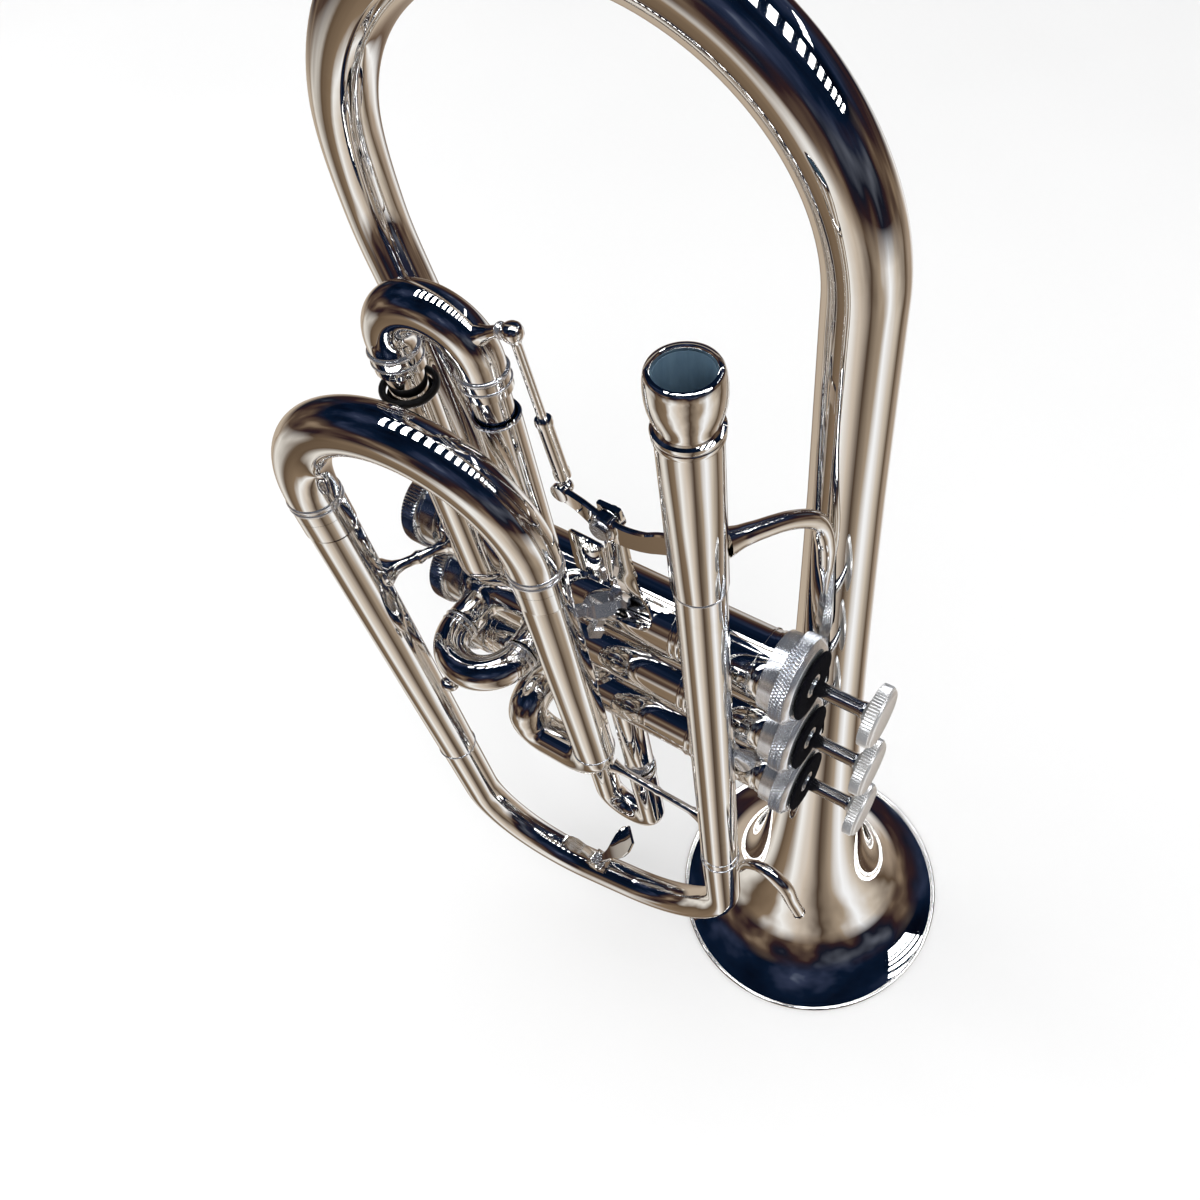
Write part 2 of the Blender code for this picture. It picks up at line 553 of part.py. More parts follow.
def make_bell(plate, cutters):
    stations = [0, 1.6, 3.2, 7, 12, 19, 30, 46, 70, 105, 150, 205, 258]
    path = [Vector((BELL_X, BELL_Y, BELL_RIM + s)) for s in stations]
    outer = [bell_radius(s) for s in stations]
    outer[0] = outer[1] = BELL_RIM_R + RIM_BEAD
    bore = [bell_radius(s) - WALL for s in stations]
    bore[0] = bore[1] = BELL_RIM_R - RIM_FOLD
    bow_steps = 7
    for i in range(bow_steps + 1):
        path.append(bow_point(pi / 2 * i / bow_steps))
        outer.append(BOW_START_R + (BOW_END_R - BOW_START_R) * i / bow_steps)
        bore.append(outer[-1] - WALL)
    path.append(path[-1] + Vector((-2, -0.17, 0)))
    outer.append(outer[-1])
    bore.append(bore[-1])
    tube("bell", path, outer, bore, plate, sides=24)
    start = path[-1] + Vector((-GAP, 0, 0))
    rest = [start, start + Vector((-2, -0.17, 0))]
    rest += [bow_point(pi * share) for share in (0.58, 0.66, 0.74, 0.82)]
    rest += smooth([bow_point(pi * 0.9), (-123.5, 14.6, 88), (-115, 10.6, 66),
                    (-104, 5.6, 40), (PORT_BELL, 1.5, 18), (PORT_BELL, 0, 0)], 2)
    taper = [BOW_END_R + (BRANCH_R - BOW_END_R) * i / (len(rest) - 1) for i in range(len(rest))]
    branch = tube("bell_bow", rest, taper, [r - WALL for r in taper], plate, sides=12)
    combine(branch, cutters[0], "DIFFERENCE")


# ---------------------------------------------------------------- trigger and fittings

def make_trigger(plate, steel, cutters):
    px, py, pz = PIVOT
    axis = joint_empty("trigger_axis", PIVOT)
    tip = Vector(LEVER_BALL)
    lever = bar("trigger_lever", smooth([tip + Vector((0, -2.1, 0)), (-55.5, py, 48.5),
                                         (px, py, pz), (-40, py, 45), (-32, py, 48.5),
                                         (-25, py, 50)], 3),
                [4.0] * 4 + [6.0] * 5 + [6.5] * 7, 1.8, (0, 1, 0), plate, axis)
    hole = rod("cutter_lever_hole", [(px, py - 6, pz), (px, py + 3, pz)], 1.6, None, sides=12)
    combine(lever, hole, "DIFFERENCE")
    bracket = bar("trigger_bracket", [(px, -5.5, 6), (px, -6.0, 16), (px, py + 2.6, 26),
                                      (px, py + 2.6, pz + 3.5)],
                  [12, 11, 8, 6], 1.6, (0, 1, 0), plate)
    combine(bracket, cutters[0], "DIFFERENCE")
    plate_hole = rod("cutter_bracket_hole", [(px, py + 1, pz), (px, py + 8, pz)], 1.6, None,
                     sides=12)
    combine(bracket, plate_hole, "DIFFERENCE")
    screw = [(-2.6, 2.6), (-1.3, 2.9), (-1.2, 1.3), (4.6, 1.3)]
    turned("trigger_pivot_screw", PIVOT, (0, 1, 0), screw, steel, sides=12, hollow=False)
    rod_axis = joint_empty("trigger_rod_axis", ROD_BALL)
    top, foot = Vector(ROD_BALL), Vector(LEVER_BALL)
    along = (foot - top).normalized()
    length = (foot - top).length
    reaches = [-1.6, -1.0, 1.0, 1.8, 2.4, length * 0.52, length * 0.52 + 0.2, length - 4.4,
               length - 3.4]
    radii = [0.8, 1.6, 1.6, 1.0, 1.1, 1.1, 1.9, 1.9, 1.3]
    rod("trigger_rod", [top + along * reach for reach in reaches], radii, steel, rod_axis,
        sides=8)


def make_braces(plate, cutters):
    rod("bell_brace", smooth([(-16.5, -11.7, 59.5), (-13.3, -5, 58), (-9.5, 4, 54.5),
                              (-6.6, 10.6, 49), (-5.2, 12.6, 41), (-4.4, 12.2, 22)], 3),
        [2.6, 2.4] + [2.2] * 12 + [2.0, 1.6], plate, sides=10)
    casing_side = Vector((-112, -CASING_R + 1.2, 0))
    lower = Vector((LOWER_X, LOWER_Y, -3))
    tube_side = lower + (casing_side - lower).normalized() * (MAIN_TUBE_R + GAP)
    span = [casing_side.lerp(tube_side, t) for t in (0, 0.12, 0.3, 0.5, 0.7, 0.92, 1)]
    brace = rod("valve_brace", span, [2.4, 1.9, 1.5, 2.1, 1.5, 1.9, 2.6], plate, sides=10)
    combine(brace, cutters[0], "DIFFERENCE")
    rod("leadpipe_brace", [(UPPER_X + 6.7, UPPER_Y, -66.5), (on_leadpipe(-77).x - 6.6,
                                                              LEADPIPE_Y, -77)],
        1.3, plate, sides=8)
    upper = Vector((UPPER_X, UPPER_Y, 8))
    toward = (Vector((-53, -9.0, 8)) - upper).normalized()
    span = [upper + toward * reach for reach in (MAIN_TUBE_R + GAP + 0.1, 8.4, 8.5, 11.5, 11.6,
                                                 14.2)]
    brace = rod("slide_brace", span, [2.4, 2.4, 3.4, 3.4, 2.2, 2.2], plate, sides=6)
    combine(brace, cutters[0], "DIFFERENCE")


def make_hook(plate):
    """An arch that springs from the leadpipe and runs out over a finger's room."""
    arch = [(-13.0, -104.6), (-11.2, -98.6), (-7.6, -94.3), (-3.4, -93.2), (0.6, -95.6),
            (4.2, -100.2), (6.6, -108.2), (9.6, -116.4)]
    rod("finger_hook", smooth([(x, LEADPIPE_Y, z) for x, z in arch], 3),
        [1.3] + [1.5] * 6 + [1.9] * 4 + [2.2] * 6 + [2.3] * 4 + [1.9], plate, sides=10)


def make_water_key(plate):
    share = (KEY_X - LOWER_X) / (LEADPIPE_FRONT_X - LOWER_X)
    y = LOWER_Y + (LEADPIPE_Y - LOWER_Y) * share
    x, tube_top = KEY_X, BOW_BOTTOM + BOW_R
    bar("water_key_saddle", [(x - 3.5, y, tube_top + 1.6), (x + 3.5, y, tube_top + 1.6)],
        7.0, 2.4, (0, 0, 1), plate)
    hinge = joint_empty("water_key_axis", (x, y, tube_top + 5.4))
    bar("water_key_lever", smooth([(x + 12, y + 11, tube_top + 22.5),
                                   (x + 9.2, y + 8, tube_top + 17.2),
                                   (x + 6, y + 4.6, tube_top + 11.6), (x, y, tube_top + 5.4),
                                   (x - 9, y, tube_top + 5.2), (x - 17, y, tube_top + 5.4)], 2),
        [8, 11, 11, 10, 7, 4.5, 4, 4, 4, 5.5, 6.5], 1.5, (0, 0, 1), plate, hinge)


def build():
    clear_scene()
    plate = material("silver_plate", (0.86, 0.85, 0.82), 1.0, 0.10)
    lathe_plate = material("turned_silver_plate", (0.84, 0.83, 0.80), 1.0, 0.18)
    steel = material("spring_steel", (0.62, 0.62, 0.63), 1.0, 0.30)
    felt = material("black_felt", (0.012, 0.012, 0.013), 0.0, 0.95)
    rubber = material("black_rubber", (0.015, 0.015, 0.015), 0.0, 0.55)
    cutters = [casing_cutter(number) for number in (1, 2, 3)]
    make_valves(plate, lathe_plate, felt, steel, cutters)
    make_leadpipe(plate)
    make_main_slide(plate, cutters)
    make_first_slide(plate, rubber, cutters)
    make_second_slide(plate, cutters)
    make_third_slide(plate, cutters)
    make_bell(plate, cutters)
    make_trigger(plate, steel, cutters)
    make_braces(plate, cutters)
    make_hook(plate)
    make_water_key(plate)


build()
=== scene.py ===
"""Looks of a silver-plated flugelhorn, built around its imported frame.

Paths and profiles are written in millimetres of the valve frame, as in the part:
X along the pistons towards the finger buttons, Y towards the player's left and
Z from the bell rim to the mouthpiece, with valve 1 at Y = Z = 0.
"""

from math import cos, pi, sin, sqrt
from random import Random

import bmesh
import bpy
from mathutils import Matrix, Vector


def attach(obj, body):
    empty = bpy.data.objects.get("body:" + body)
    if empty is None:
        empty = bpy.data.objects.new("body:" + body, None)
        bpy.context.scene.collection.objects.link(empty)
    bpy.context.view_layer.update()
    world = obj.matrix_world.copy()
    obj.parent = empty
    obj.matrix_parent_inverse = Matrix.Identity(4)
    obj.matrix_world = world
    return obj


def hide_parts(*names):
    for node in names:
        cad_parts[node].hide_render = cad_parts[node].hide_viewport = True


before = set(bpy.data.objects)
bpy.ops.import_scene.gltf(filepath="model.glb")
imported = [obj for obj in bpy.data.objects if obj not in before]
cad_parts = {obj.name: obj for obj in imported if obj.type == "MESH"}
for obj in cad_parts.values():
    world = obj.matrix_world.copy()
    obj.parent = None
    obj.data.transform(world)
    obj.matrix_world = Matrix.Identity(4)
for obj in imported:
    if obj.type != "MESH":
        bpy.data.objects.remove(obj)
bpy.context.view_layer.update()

MM = 0.001
ORIGIN = Vector((42.8, -21.4, 213.5))      # the valve frame's origin in the part's frame
X_AXIS, Y_AXIS, Z_AXIS = Vector((1, 0, 0)), Vector((0, 1, 0)), Vector((0, 0, 1))
VALVE_DOWN = (-1, 0, 0)                    # from a valve's top cap to its bottom cap

# Valves, and where passages meet their casings
VALVES = (1, 2, 3)
PITCH = 28.0
CASING_R, CASING_BORE = 9.5, 8.7
KNUCKLES = {"knuckle_1_2": (-84.0, 1), "knuckle_2_3": (-74.0, 2)}     # X and the rear valve
KNUCKLE_R, KNUCKLE_BAND_R, KNUCKLE_REACH = 5.9, 6.2, 8.2
PORT_BELL, PORT_INLET = -100.0, -91.0
PORT_FIRST, PORT_SECOND, PORT_THIRD = (-98.0, -76.2), (-110.5, -87.5), (-92.0, -70.0)
SLEEVE_R, SLEEVE_BORE, BRANCH_R, TURN_R = 5.5, 4.9, 6.25, 6.3
FILLET = 1.3                               # how far a solder fillet runs out from a tube

# Leadpipe, front bow and main slide
LEADPIPE_X, LEADPIPE_FRONT_X, LEADPIPE_Y = -17.5, -21.3, -18.5
RECEIVER_TOP, BOW_TOP, BOW_BOTTOM, BOW_BEND = 109.5, -103.0, -181.0, 44.0
BOW_R, BOW_BORE, SEAM = 6.4, 5.6, 0.05
LOWER_X, LOWER_Y, UPPER_X, UPPER_Y, UPPER_END = -127.8, -30.8, -64.1, -21.5, -60.0
MAIN_MOUTH, MAIN_R, MAIN_BORE = 22.0, 6.6, 5.9
MAIN_FOOT, MAIN_RISE, MAIN_CROOK_R = 28.6, 5.4, 6.8

# Valve slides: mouths of their sleeves, and where their bent tubes begin
FIRST_LEGS = {"lower": (PORT_FIRST[0], -12.2, 6.5), "upper": (PORT_FIRST[1], -8.8, 5.5)}
FIRST_MOUTH, FIRST_FOOT, FIRST_RISE = 66.0, 77.2, 2.8
CROOK_R, CROOK_BORE = 5.4, 4.7
SECOND_BEND = -19
KNOB = Vector((-104.3, -34.6, -35.2))
KNOB_ROOT = (-104.0, -29.2, -28.0)
THIRD_Y, THIRD_FOOT, THIRD_BEND = 2.0, -119.0, -161

# Bell and rear bow
BELL_X, BELL_Y, BELL_RIM, BELL_TOP = -6.4, 25.0, -213.5, 97.0
BELL_RIM_R, BELL_SOFT, BELL_POWER = 55.2, 13.0, 0.6
FLARE_END, STEM_R, BOW_MIDDLE_R, BELL_WALL = 52.5, 8.3, 7.2, 0.7
BOW_REACH, BOW_HEIGHT, BOW_SWAY = 58.8, 53.0, 5

# Trigger and water key
PIVOT = Vector((-49.5, -10.5, 45.0))
ROD_BALL = Vector((-64.8, -8.4, 91.5))
LEVER_BALL = Vector((-60.7, -8.4, 50.2))
BRACKET_SLOPE = 0.62                       # radians between the bracket's foot and Z
KEY_X, KEY_COIL_R, KEY_AXIS = -80.0, 1.75, 5.4

# Stage and camera, in metres
FLOOR_HALF, FLOOR_DROP = 6.0, 0.0002
LAMPS = (("key", (0.9, -0.7, 1.3), 0.9, 9.0), ("fill", (-1.1, -0.3, 1.0), 1.0, 5.0))
LAMP_AIM = (0, 0, 0.15)
CAMERA_PLACE = (0.09557, -0.13723, 0.42543)
CAMERA_RIGHT = Vector((0.84914, 0.52483, -0.05929))
CAMERA_DOWN = Vector((0.4098, -0.72549, -0.55293))
CAMERA_FORWARD = Vector((-0.3332, 0.44522, -0.83112))
SENSOR, LENS, SHIFT_X, SHIFT_Y, CLIP = 36.0, 29.02, -0.0833, 0.0333, 0.01

# The room that the plating mirrors, as (place, colour): round the horizon, on the wall
# above it, and on the ceiling. Walls and ceiling fade in between two heights of view.
HORIZON = [
    (0.00, (0.30, 0.22, 0.15)), (0.05, (0.80, 0.76, 0.70)), (0.11, (0.12, 0.08, 0.05)),
    (0.18, (0.24, 0.17, 0.11)), (0.23, (0.92, 0.91, 0.89)), (0.29, (0.62, 0.53, 0.44)),
    (0.36, (0.07, 0.045, 0.03)), (0.43, (0.38, 0.30, 0.22)), (0.49, (0.97, 0.98, 1.00)),
    (0.55, (0.60, 0.52, 0.43)), (0.62, (0.10, 0.065, 0.04)), (0.69, (0.42, 0.33, 0.25)),
    (0.76, (0.97, 0.96, 0.95)), (0.83, (0.14, 0.09, 0.06)), (0.92, (0.50, 0.41, 0.32))]
WALL = [
    (0.28, (0.30, 0.22, 0.15)), (0.40, (0.10, 0.065, 0.045)), (0.50, (0.03, 0.014, 0.016)),
    (0.62, (0.008, 0.010, 0.020)), (0.78, (0.10, 0.11, 0.14))]
CEILING = [
    (0.30, (0.001, 0.002, 0.006)), (0.50, (0.003, 0.009, 0.026)), (0.66, (0.03, 0.04, 0.08)),
    (0.82, (0.22, 0.26, 0.34))]
WALL_FADE, CEILING_FADE = (-0.32, -0.10), (0.25, 0.45)
# Rows of ceiling lamps: turn, centre along and across, half length, half width, spacing
LAMP_ROWS = ((0.15, 0.70, 0.12, 1.15, 0.27, 0.145), (1.9, 1.1, -1.1, 0.5, 0.07, 0.21))
LAMP_LIT = 0.5                             # the lit share of a row's spacing
LAMP_SLATS, SLAT_SHARE = 0.045, 0.22       # dark slats across the lamps, and their share
LAMP_GLOW = (9.0, 9.2, 9.6)
LAMP_HORIZON = 0.05                        # no lamp is seen lower than this


def at(point):
    return (Vector(point) + ORIGIN) * MM


def valve_z(number):
    return -PITCH * (number - 1)


# ---------------------------------------------------------------- paths

def arc(start, end, toward, steps):
    """A half circle from start to end that bulges along toward."""
    start, end = Vector(start), Vector(end)
    middle, spoke = (start + end) / 2, (start - end) / 2
    rise = Vector(toward).normalized() * spoke.length
    return [middle + spoke * cos(pi * i / steps) + rise * sin(pi * i / steps)
            for i in range(steps + 1)]


def line(start, end, steps):
    start, end = Vector(start), Vector(end)
    return [start.lerp(end, i / steps) for i in range(steps + 1)]


def rounded(corners, bends, steps=16):
    """A polyline whose inner corners are arcs of the given radii."""
    corners = [Vector(corner) for corner in corners]
    path = [corners[0]]
    for before, corner, after, bend in zip(corners, corners[1:], corners[2:], bends):
        into, out = (before - corner).normalized(), (after - corner).normalized()
        angle = into.angle(out)
        reach = bend / sqrt((1 - cos(angle)) / (1 + cos(angle)))
        middle = corner + (into + out).normalized() * sqrt(reach ** 2 + bend ** 2)
        first, last = corner + into * reach - middle, corner + out * reach - middle
        sweep = first.angle(last)
        path += [middle + (first * sin((1 - i / steps) * sweep)
                           + last * sin(i / steps * sweep)) / sin(sweep)
                 for i in range(steps + 1)]
    return path + [corners[-1]]


def smooth(points, steps=8):
    """A Catmull-Rom curve through the given points."""
    points = [Vector(point) for point in points]
    ends = [2 * points[0] - points[1]] + points + [2 * points[-1] - points[-2]]
    path = []
    for a, b, c, d in zip(ends, ends[1:], ends[2:], ends[3:]):
        for i in range(steps):
            t = i / steps
            path.append(0.5 * (2 * b + (c - a) * t + (2 * a - 5 * b + 4 * c - d) * t ** 2
                               + (3 * b - a - 3 * c + d) * t ** 3))
    return path + [points[-1]]


def directions(path):
    """The tangent at each point, and a side vector carried along the path."""
    count = len(path)
    tangents = [(path[min(i + 1, count - 1)] - path[max(i - 1, 0)]).normalized()
                for i in range(count)]
    least = min(range(3), key=lambda axis: abs(tangents[0][axis]))
    unit = Vector([float(axis == least) for axis in range(3)])
    side = tangents[0].cross(unit).normalized()
    sides = [side]
    for before, after in zip(tangents, tangents[1:]):
        side = before.rotation_difference(after) @ side
        side = (side - after * side.dot(after)).normalized()
        sides.append(side)
    return tangents, sides


def spread(radius, count):
    """One radius a point, interpolated along the path from a short list."""
    if not isinstance(radius, (list, tuple)):
        return [radius] * count
    if len(radius) == count:
        return list(radius)
    made = []
    for i in range(count):
        place = i / (count - 1) * (len(radius) - 1)
        low = min(int(place), len(radius) - 2)
        made.append(radius[low] + (radius[low + 1] - radius[low]) * (place - low))
    return made


# ---------------------------------------------------------------- shells of a piece

def ring(tool, centre, along, side, radius, sides, teeth=0, depth=0.0, phase=0.0):
    """A ring of vertices; with teeth its radius dips by depth along two crossing sets of
    grooves, which run together into straight ones where phase is 0."""
    up = along.cross(side)
    made = []
    for k in range(sides):
        turn = 2 * pi * k / sides
        r = radius
        if teeth:
            crest = min(cos(teeth * turn + phase), cos(teeth * turn - phase))
            r -= depth * (0.5 - 0.5 * crest)
        made.append(tool.verts.new(centre + (side * cos(turn) + up * sin(turn)) * r))
    return made


def skin(tool, rings, closed):
    """Faces between rings; closed joins the last ring to the first, or else both are capped."""
    pairs = list(zip(rings, rings[1:])) + ([(rings[-1], rings[0])] if closed else [])
    for first, second in pairs:
        for k in range(len(first)):
            n = (k + 1) % len(first)
            tool.faces.new((first[k], first[n], second[n], second[k]))
    if not closed:
        tool.faces.new(rings[0][::-1])
        tool.faces.new(rings[-1])


def pipe(path, outer, bore=None, sides=40):
    """A tube along a path, or a solid round bar if it has no bore."""
    def make(tool):
        points = [Vector(point) for point in path]
        tangents, spokes = directions(points)
        rings = [ring(tool, p, t, s, r, sides) for p, t, s, r in
                 zip(points, tangents, spokes, spread(outer, len(points)))]
        if bore is not None:
            rings += [ring(tool, p, t, s, r, sides) for p, t, s, r in
                      zip(points, tangents, spokes, spread(bore, len(points)))][::-1]
        skin(tool, rings, bore is not None)
    return make


def lathe(base, axis, profile, hollow=True, sides=64, teeth=0):
    """Turned about an axis; profile is (along, radius) or (along, radius, depth, phase)
    where a knurl of that depth runs round the ring."""
    def make(tool):
        start, along = Vector(base), Vector(axis).normalized()
        _, spokes = directions([start, start + along])
        count = max(sides, teeth * 4)
        rings = []
        for entry in profile:
            depth = entry[2] if len(entry) > 2 else 0.0
            phase = entry[3] if len(entry) > 3 else 0.0
            rings.append(ring(tool, start + along * entry[0], along, spokes[0], entry[1],
                              count, teeth if depth else 0, depth, phase))
        skin(tool, rings, hollow)
    return make


def bead(base, axis, radius, thick, sides=56, flat=1.0):
    """A half-round ring that sits on a tube of the given radius, and is sunk into it."""
    steps, sunk = 6, 0.3
    profile = [(-thick * flat * cos(pi * i / steps), radius + thick * sin(pi * i / steps))
               for i in range(steps + 1)]
    profile += [(thick * flat, radius - sunk), (-thick * flat, radius - sunk)]
    return lathe(base, axis, profile, sides=sides), ring_silver


def ball(centre, radius, squash=1.0, axis=(0, 0, 1)):
    """A turned ball, flattened along its axis where squash is under 1."""
    steps = 14
    profile = [(-radius * squash * cos(pi * (i + 0.5) / steps),
                radius * sin(pi * (i + 0.5) / steps)) for i in range(steps)]
    return lathe(centre, axis, profile, hollow=False, sides=32)


def saddle(centre, outward, tube_r):
    """The solder fillet where a tube meets a valve casing at a right angle."""
    sides = 56
    section = ((FILLET, 0.05), (FILLET * 0.45, 0.30 * FILLET), (FILLET * 0.15, 0.62 * FILLET),
               (0.05, FILLET), (-0.5, FILLET * 0.8), (-0.5, -0.6), (FILLET, -0.5))

    def make(tool):
        across = X_AXIS.cross(outward)
        rings = []
        for extra, lift in section:
            loop = []
            for k in range(sides):
                turn = 2 * pi * k / sides
                r = tube_r + extra
                height = sqrt(max(CASING_R ** 2 - (r * sin(turn)) ** 2, 1.0))
                loop.append(tool.verts.new(Vector(centre) + outward * (height + lift)
                                           + (X_AXIS * cos(turn) + across * sin(turn)) * r))
            rings.append(loop)
        skin(tool, rings, True)
    return make


def strip(path, width, thickness, normal, edge=0.3):
    """A flat bar with rounded edges along a path, thin along normal."""
    def make(tool):
        points = [Vector(point) for point in path]
        tangents, _ = directions(points)
        flat = Vector(normal).normalized()
        rings = []
        for point, tangent, wide in zip(points, tangents, spread(width, len(points))):
            across = tangent.cross(flat).normalized()
            thin = across.cross(tangent).normalized() * thickness / 2
            half = across * wide / 2
            cut = across * edge
            soft = thin.normalized() * edge
            rings.append([tool.verts.new(point + corner) for corner in
                          (half - cut + thin, half + thin - soft, half - thin + soft,
                           half - cut - thin, -half + cut - thin, -half - thin + soft,
                           -half + thin - soft, -half + cut + thin)])
        skin(tool, rings, False)
    return make


def plate(outline, base, u, v, thickness, edge=0.25):
    """A flat sheet piece: outline in (u, v) about base, with softened edges."""
    def make(tool):
        origin, a, b = Vector(base), Vector(u).normalized(), Vector(v).normalized()
        up = a.cross(b)
        middle = Vector((sum(p[0] for p in outline) / len(outline),
                         sum(p[1] for p in outline) / len(outline)))
        rings = []
        for shrink, lift in ((edge, -thickness / 2), (0, -thickness / 2 + edge),
                             (0, thickness / 2 - edge), (edge, thickness / 2)):
            loop = []
            for x, y in outline:
                inward = middle - Vector((x, y))
                if inward.length > 0:
                    inward = inward.normalized() * shrink
                loop.append(tool.verts.new(origin + a * (x + inward.x) + b * (y + inward.y)
                                           + up * lift))
            rings.append(loop)
        skin(tool, rings, False)
    return make


def stadium(half_u, half_v):
    """An outline with round ends: half_u long each way, half_v wide."""
    count, straight = 24, half_u - half_v
    outline = []
    for k in range(count):
        turn = 2 * pi * k / count
        shift = straight if cos(turn) > 0 else -straight
        outline.append((cos(turn) * half_v + shift, sin(turn) * half_v))
    return outline


def cut_at_bore(shell, number, axis):
    """A tube along Y (1) or Z (2), with its end shaped to the inner wall of a casing."""
    z = valve_z(number)

    def make(tool):
        before = len(tool.verts)
        shell(tool)
        tool.verts.ensure_lookup_table()
        for vertex in tool.verts[before:]:
            offset = Vector((0, vertex.co.y, vertex.co.z - z))
            if offset.length < CASING_BORE:
                depth = sqrt(CASING_BORE ** 2 - offset[3 - axis] ** 2)
                offset[axis] = depth if offset[axis] > 0 else -depth
                vertex.co = Vector((vertex.co.x, offset.y, z + offset.z))
    return make


def piece(name, body, nodes, finish, shells, sharp=38):
    """One object made of closed shells, which rides on a body and stands for CAD nodes.
    A shell given as (shell, finish) gets a finish of its own. Edges that turn by more than
    sharp degrees stay crisp."""
    tool = bmesh.new()
    finishes = [finish]
    for shell in shells:
        shell, own = shell if isinstance(shell, tuple) else (shell, finish)
        if own not in finishes:
            finishes.append(own)
        before = len(tool.faces)
        shell(tool)
        tool.faces.ensure_lookup_table()
        for face in tool.faces[before:]:
            face.material_index = finishes.index(own)
    for vertex in tool.verts:
        vertex.co = at(vertex.co)
    bmesh.ops.recalc_face_normals(tool, faces=tool.faces)
    mesh = bpy.data.meshes.new(name)
    tool.to_mesh(mesh)
    tool.free()
    for own in finishes:
        mesh.materials.append(own)
    mesh.shade_smooth()
    mesh.set_sharp_from_angle(angle=sharp * pi / 180)
    made = bpy.data.objects.new(name, mesh)
    bpy.context.collection.objects.link(made)
    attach(made, body)
    if nodes:
        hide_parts(*nodes)
    return made


# ---------------------------------------------------------------- materials

class Nodes:
    """A short way to write a material's node tree."""

    def __init__(self, name):
        self.made = bpy.data.materials.new(name)
        self.made.use_nodes = True
        self.tree = self.made.node_tree
        self.shader = self.tree.nodes["Principled BSDF"]
        self.place = self.add("ShaderNodeTexCoord").outputs["Object"]

    def add(self, kind, **inputs):
        node = self.tree.nodes.new(kind)
        for key, value in inputs.items():
            self.feed(node.inputs[key.replace("_", " ")], value)
        return node

    def feed(self, socket, value):
        if isinstance(value, bpy.types.NodeSocket):
            self.tree.links.new(value, socket)
        else:
            socket.default_value = value

    def noise(self, scale, detail=3.0, rough=0.55, place=None):
        return self.add("ShaderNodeTexNoise", Vector=place or self.place, Scale=scale,
                        Detail=detail, Roughness=rough).outputs["Fac"]

    def stretched(self, x, y, z):
        node = self.add("ShaderNodeMapping", Vector=self.place)
        node.inputs["Scale"].default_value = (x, y, z)
        return node.outputs["Vector"]

    def ramp(self, value, stops):
        node = self.add("ShaderNodeValToRGB", Fac=value)
        elements = node.color_ramp.elements
        while len(elements) < len(stops):
            elements.new(0.5)
        for element, (place, colour) in zip(elements, stops):
            element.position, element.color = place, (*colour, 1.0)
        return node.outputs["Color"]

    def between(self, value, low, high):
        node = self.add("ShaderNodeMapRange", Value=value)
        node.inputs["To Min"].default_value = low
        node.inputs["To Max"].default_value = high
        return node.outputs["Result"]

    def bump(self, height, strength, distance):
        node = self.add("ShaderNodeBump", Height=height)
        node.inputs["Strength"].default_value = strength
        node.inputs["Distance"].default_value = distance
        self.feed(self.shader.inputs["Normal"], node.outputs["Normal"])


def metal(name, bright, tarnish, rough_low, rough_high, scratch):
    """Polished plating: faint clouds of tarnish, and hairline scratches."""
    made = Nodes(name)
    made.shader.inputs["Metallic"].default_value = 1.0
    clouds = made.noise(38.0, 4.0, 0.6)
    colour = made.ramp(clouds, [(0.30, bright), (0.62, bright), (0.80, tarnish)])
    made.feed(made.shader.inputs["Base Color"], colour)
    hair = made.noise(900.0, 2.0, 0.7, made.stretched(1.0, 1.0, 0.12))
    made.feed(made.shader.inputs["Roughness"],
              made.between(made.noise(140.0, 5.0, 0.65), rough_low, rough_high))
    made.bump(hair, scratch, 0.00004)
    return made.made


def brushed(name, bright, dark, rough_low, rough_high, grain, strength, metallic=1.0):
    """Turned or satin metal with fine grain; the less metallic, the paler in a dark room."""
    made = Nodes(name)
    made.shader.inputs["Metallic"].default_value = metallic
    lines = made.noise(700.0, 3.0, 0.7, made.stretched(*grain))
    made.feed(made.shader.inputs["Base Color"],
              made.ramp(lines, [(0.25, dark), (0.70, bright)]))
    made.feed(made.shader.inputs["Roughness"], made.between(lines, rough_low, rough_high))
    made.bump(lines, strength, 0.00006)
    return made.made


def felt_finish():
    made = Nodes("black_felt_fibres")
    fibres = made.noise(1400.0, 6.0, 0.75)
    made.feed(made.shader.inputs["Base Color"],
              made.ramp(fibres, [(0.35, (0.0012, 0.0012, 0.002)), (0.75, (0.008, 0.008, 0.013))]))
    made.feed(made.shader.inputs["Roughness"], made.between(fibres, 0.9, 1.0))
    made.shader.inputs["Specular IOR Level"].default_value = 0.08
    made.bump(fibres, 0.8, 0.0003)
    return made.made


def rubber_finish():
    made = Nodes("black_rubber_ring")
    grain = made.noise(600.0, 4.0, 0.6)
    made.feed(made.shader.inputs["Base Color"],
              made.ramp(grain, [(0.3, (0.0015, 0.0015, 0.002)), (0.8, (0.006, 0.006, 0.006))]))
    made.feed(made.shader.inputs["Roughness"], made.between(grain, 0.32, 0.5))
    made.shader.inputs["Specular IOR Level"].default_value = 0.3
    made.bump(grain, 0.25, 0.0001)
    return made.made


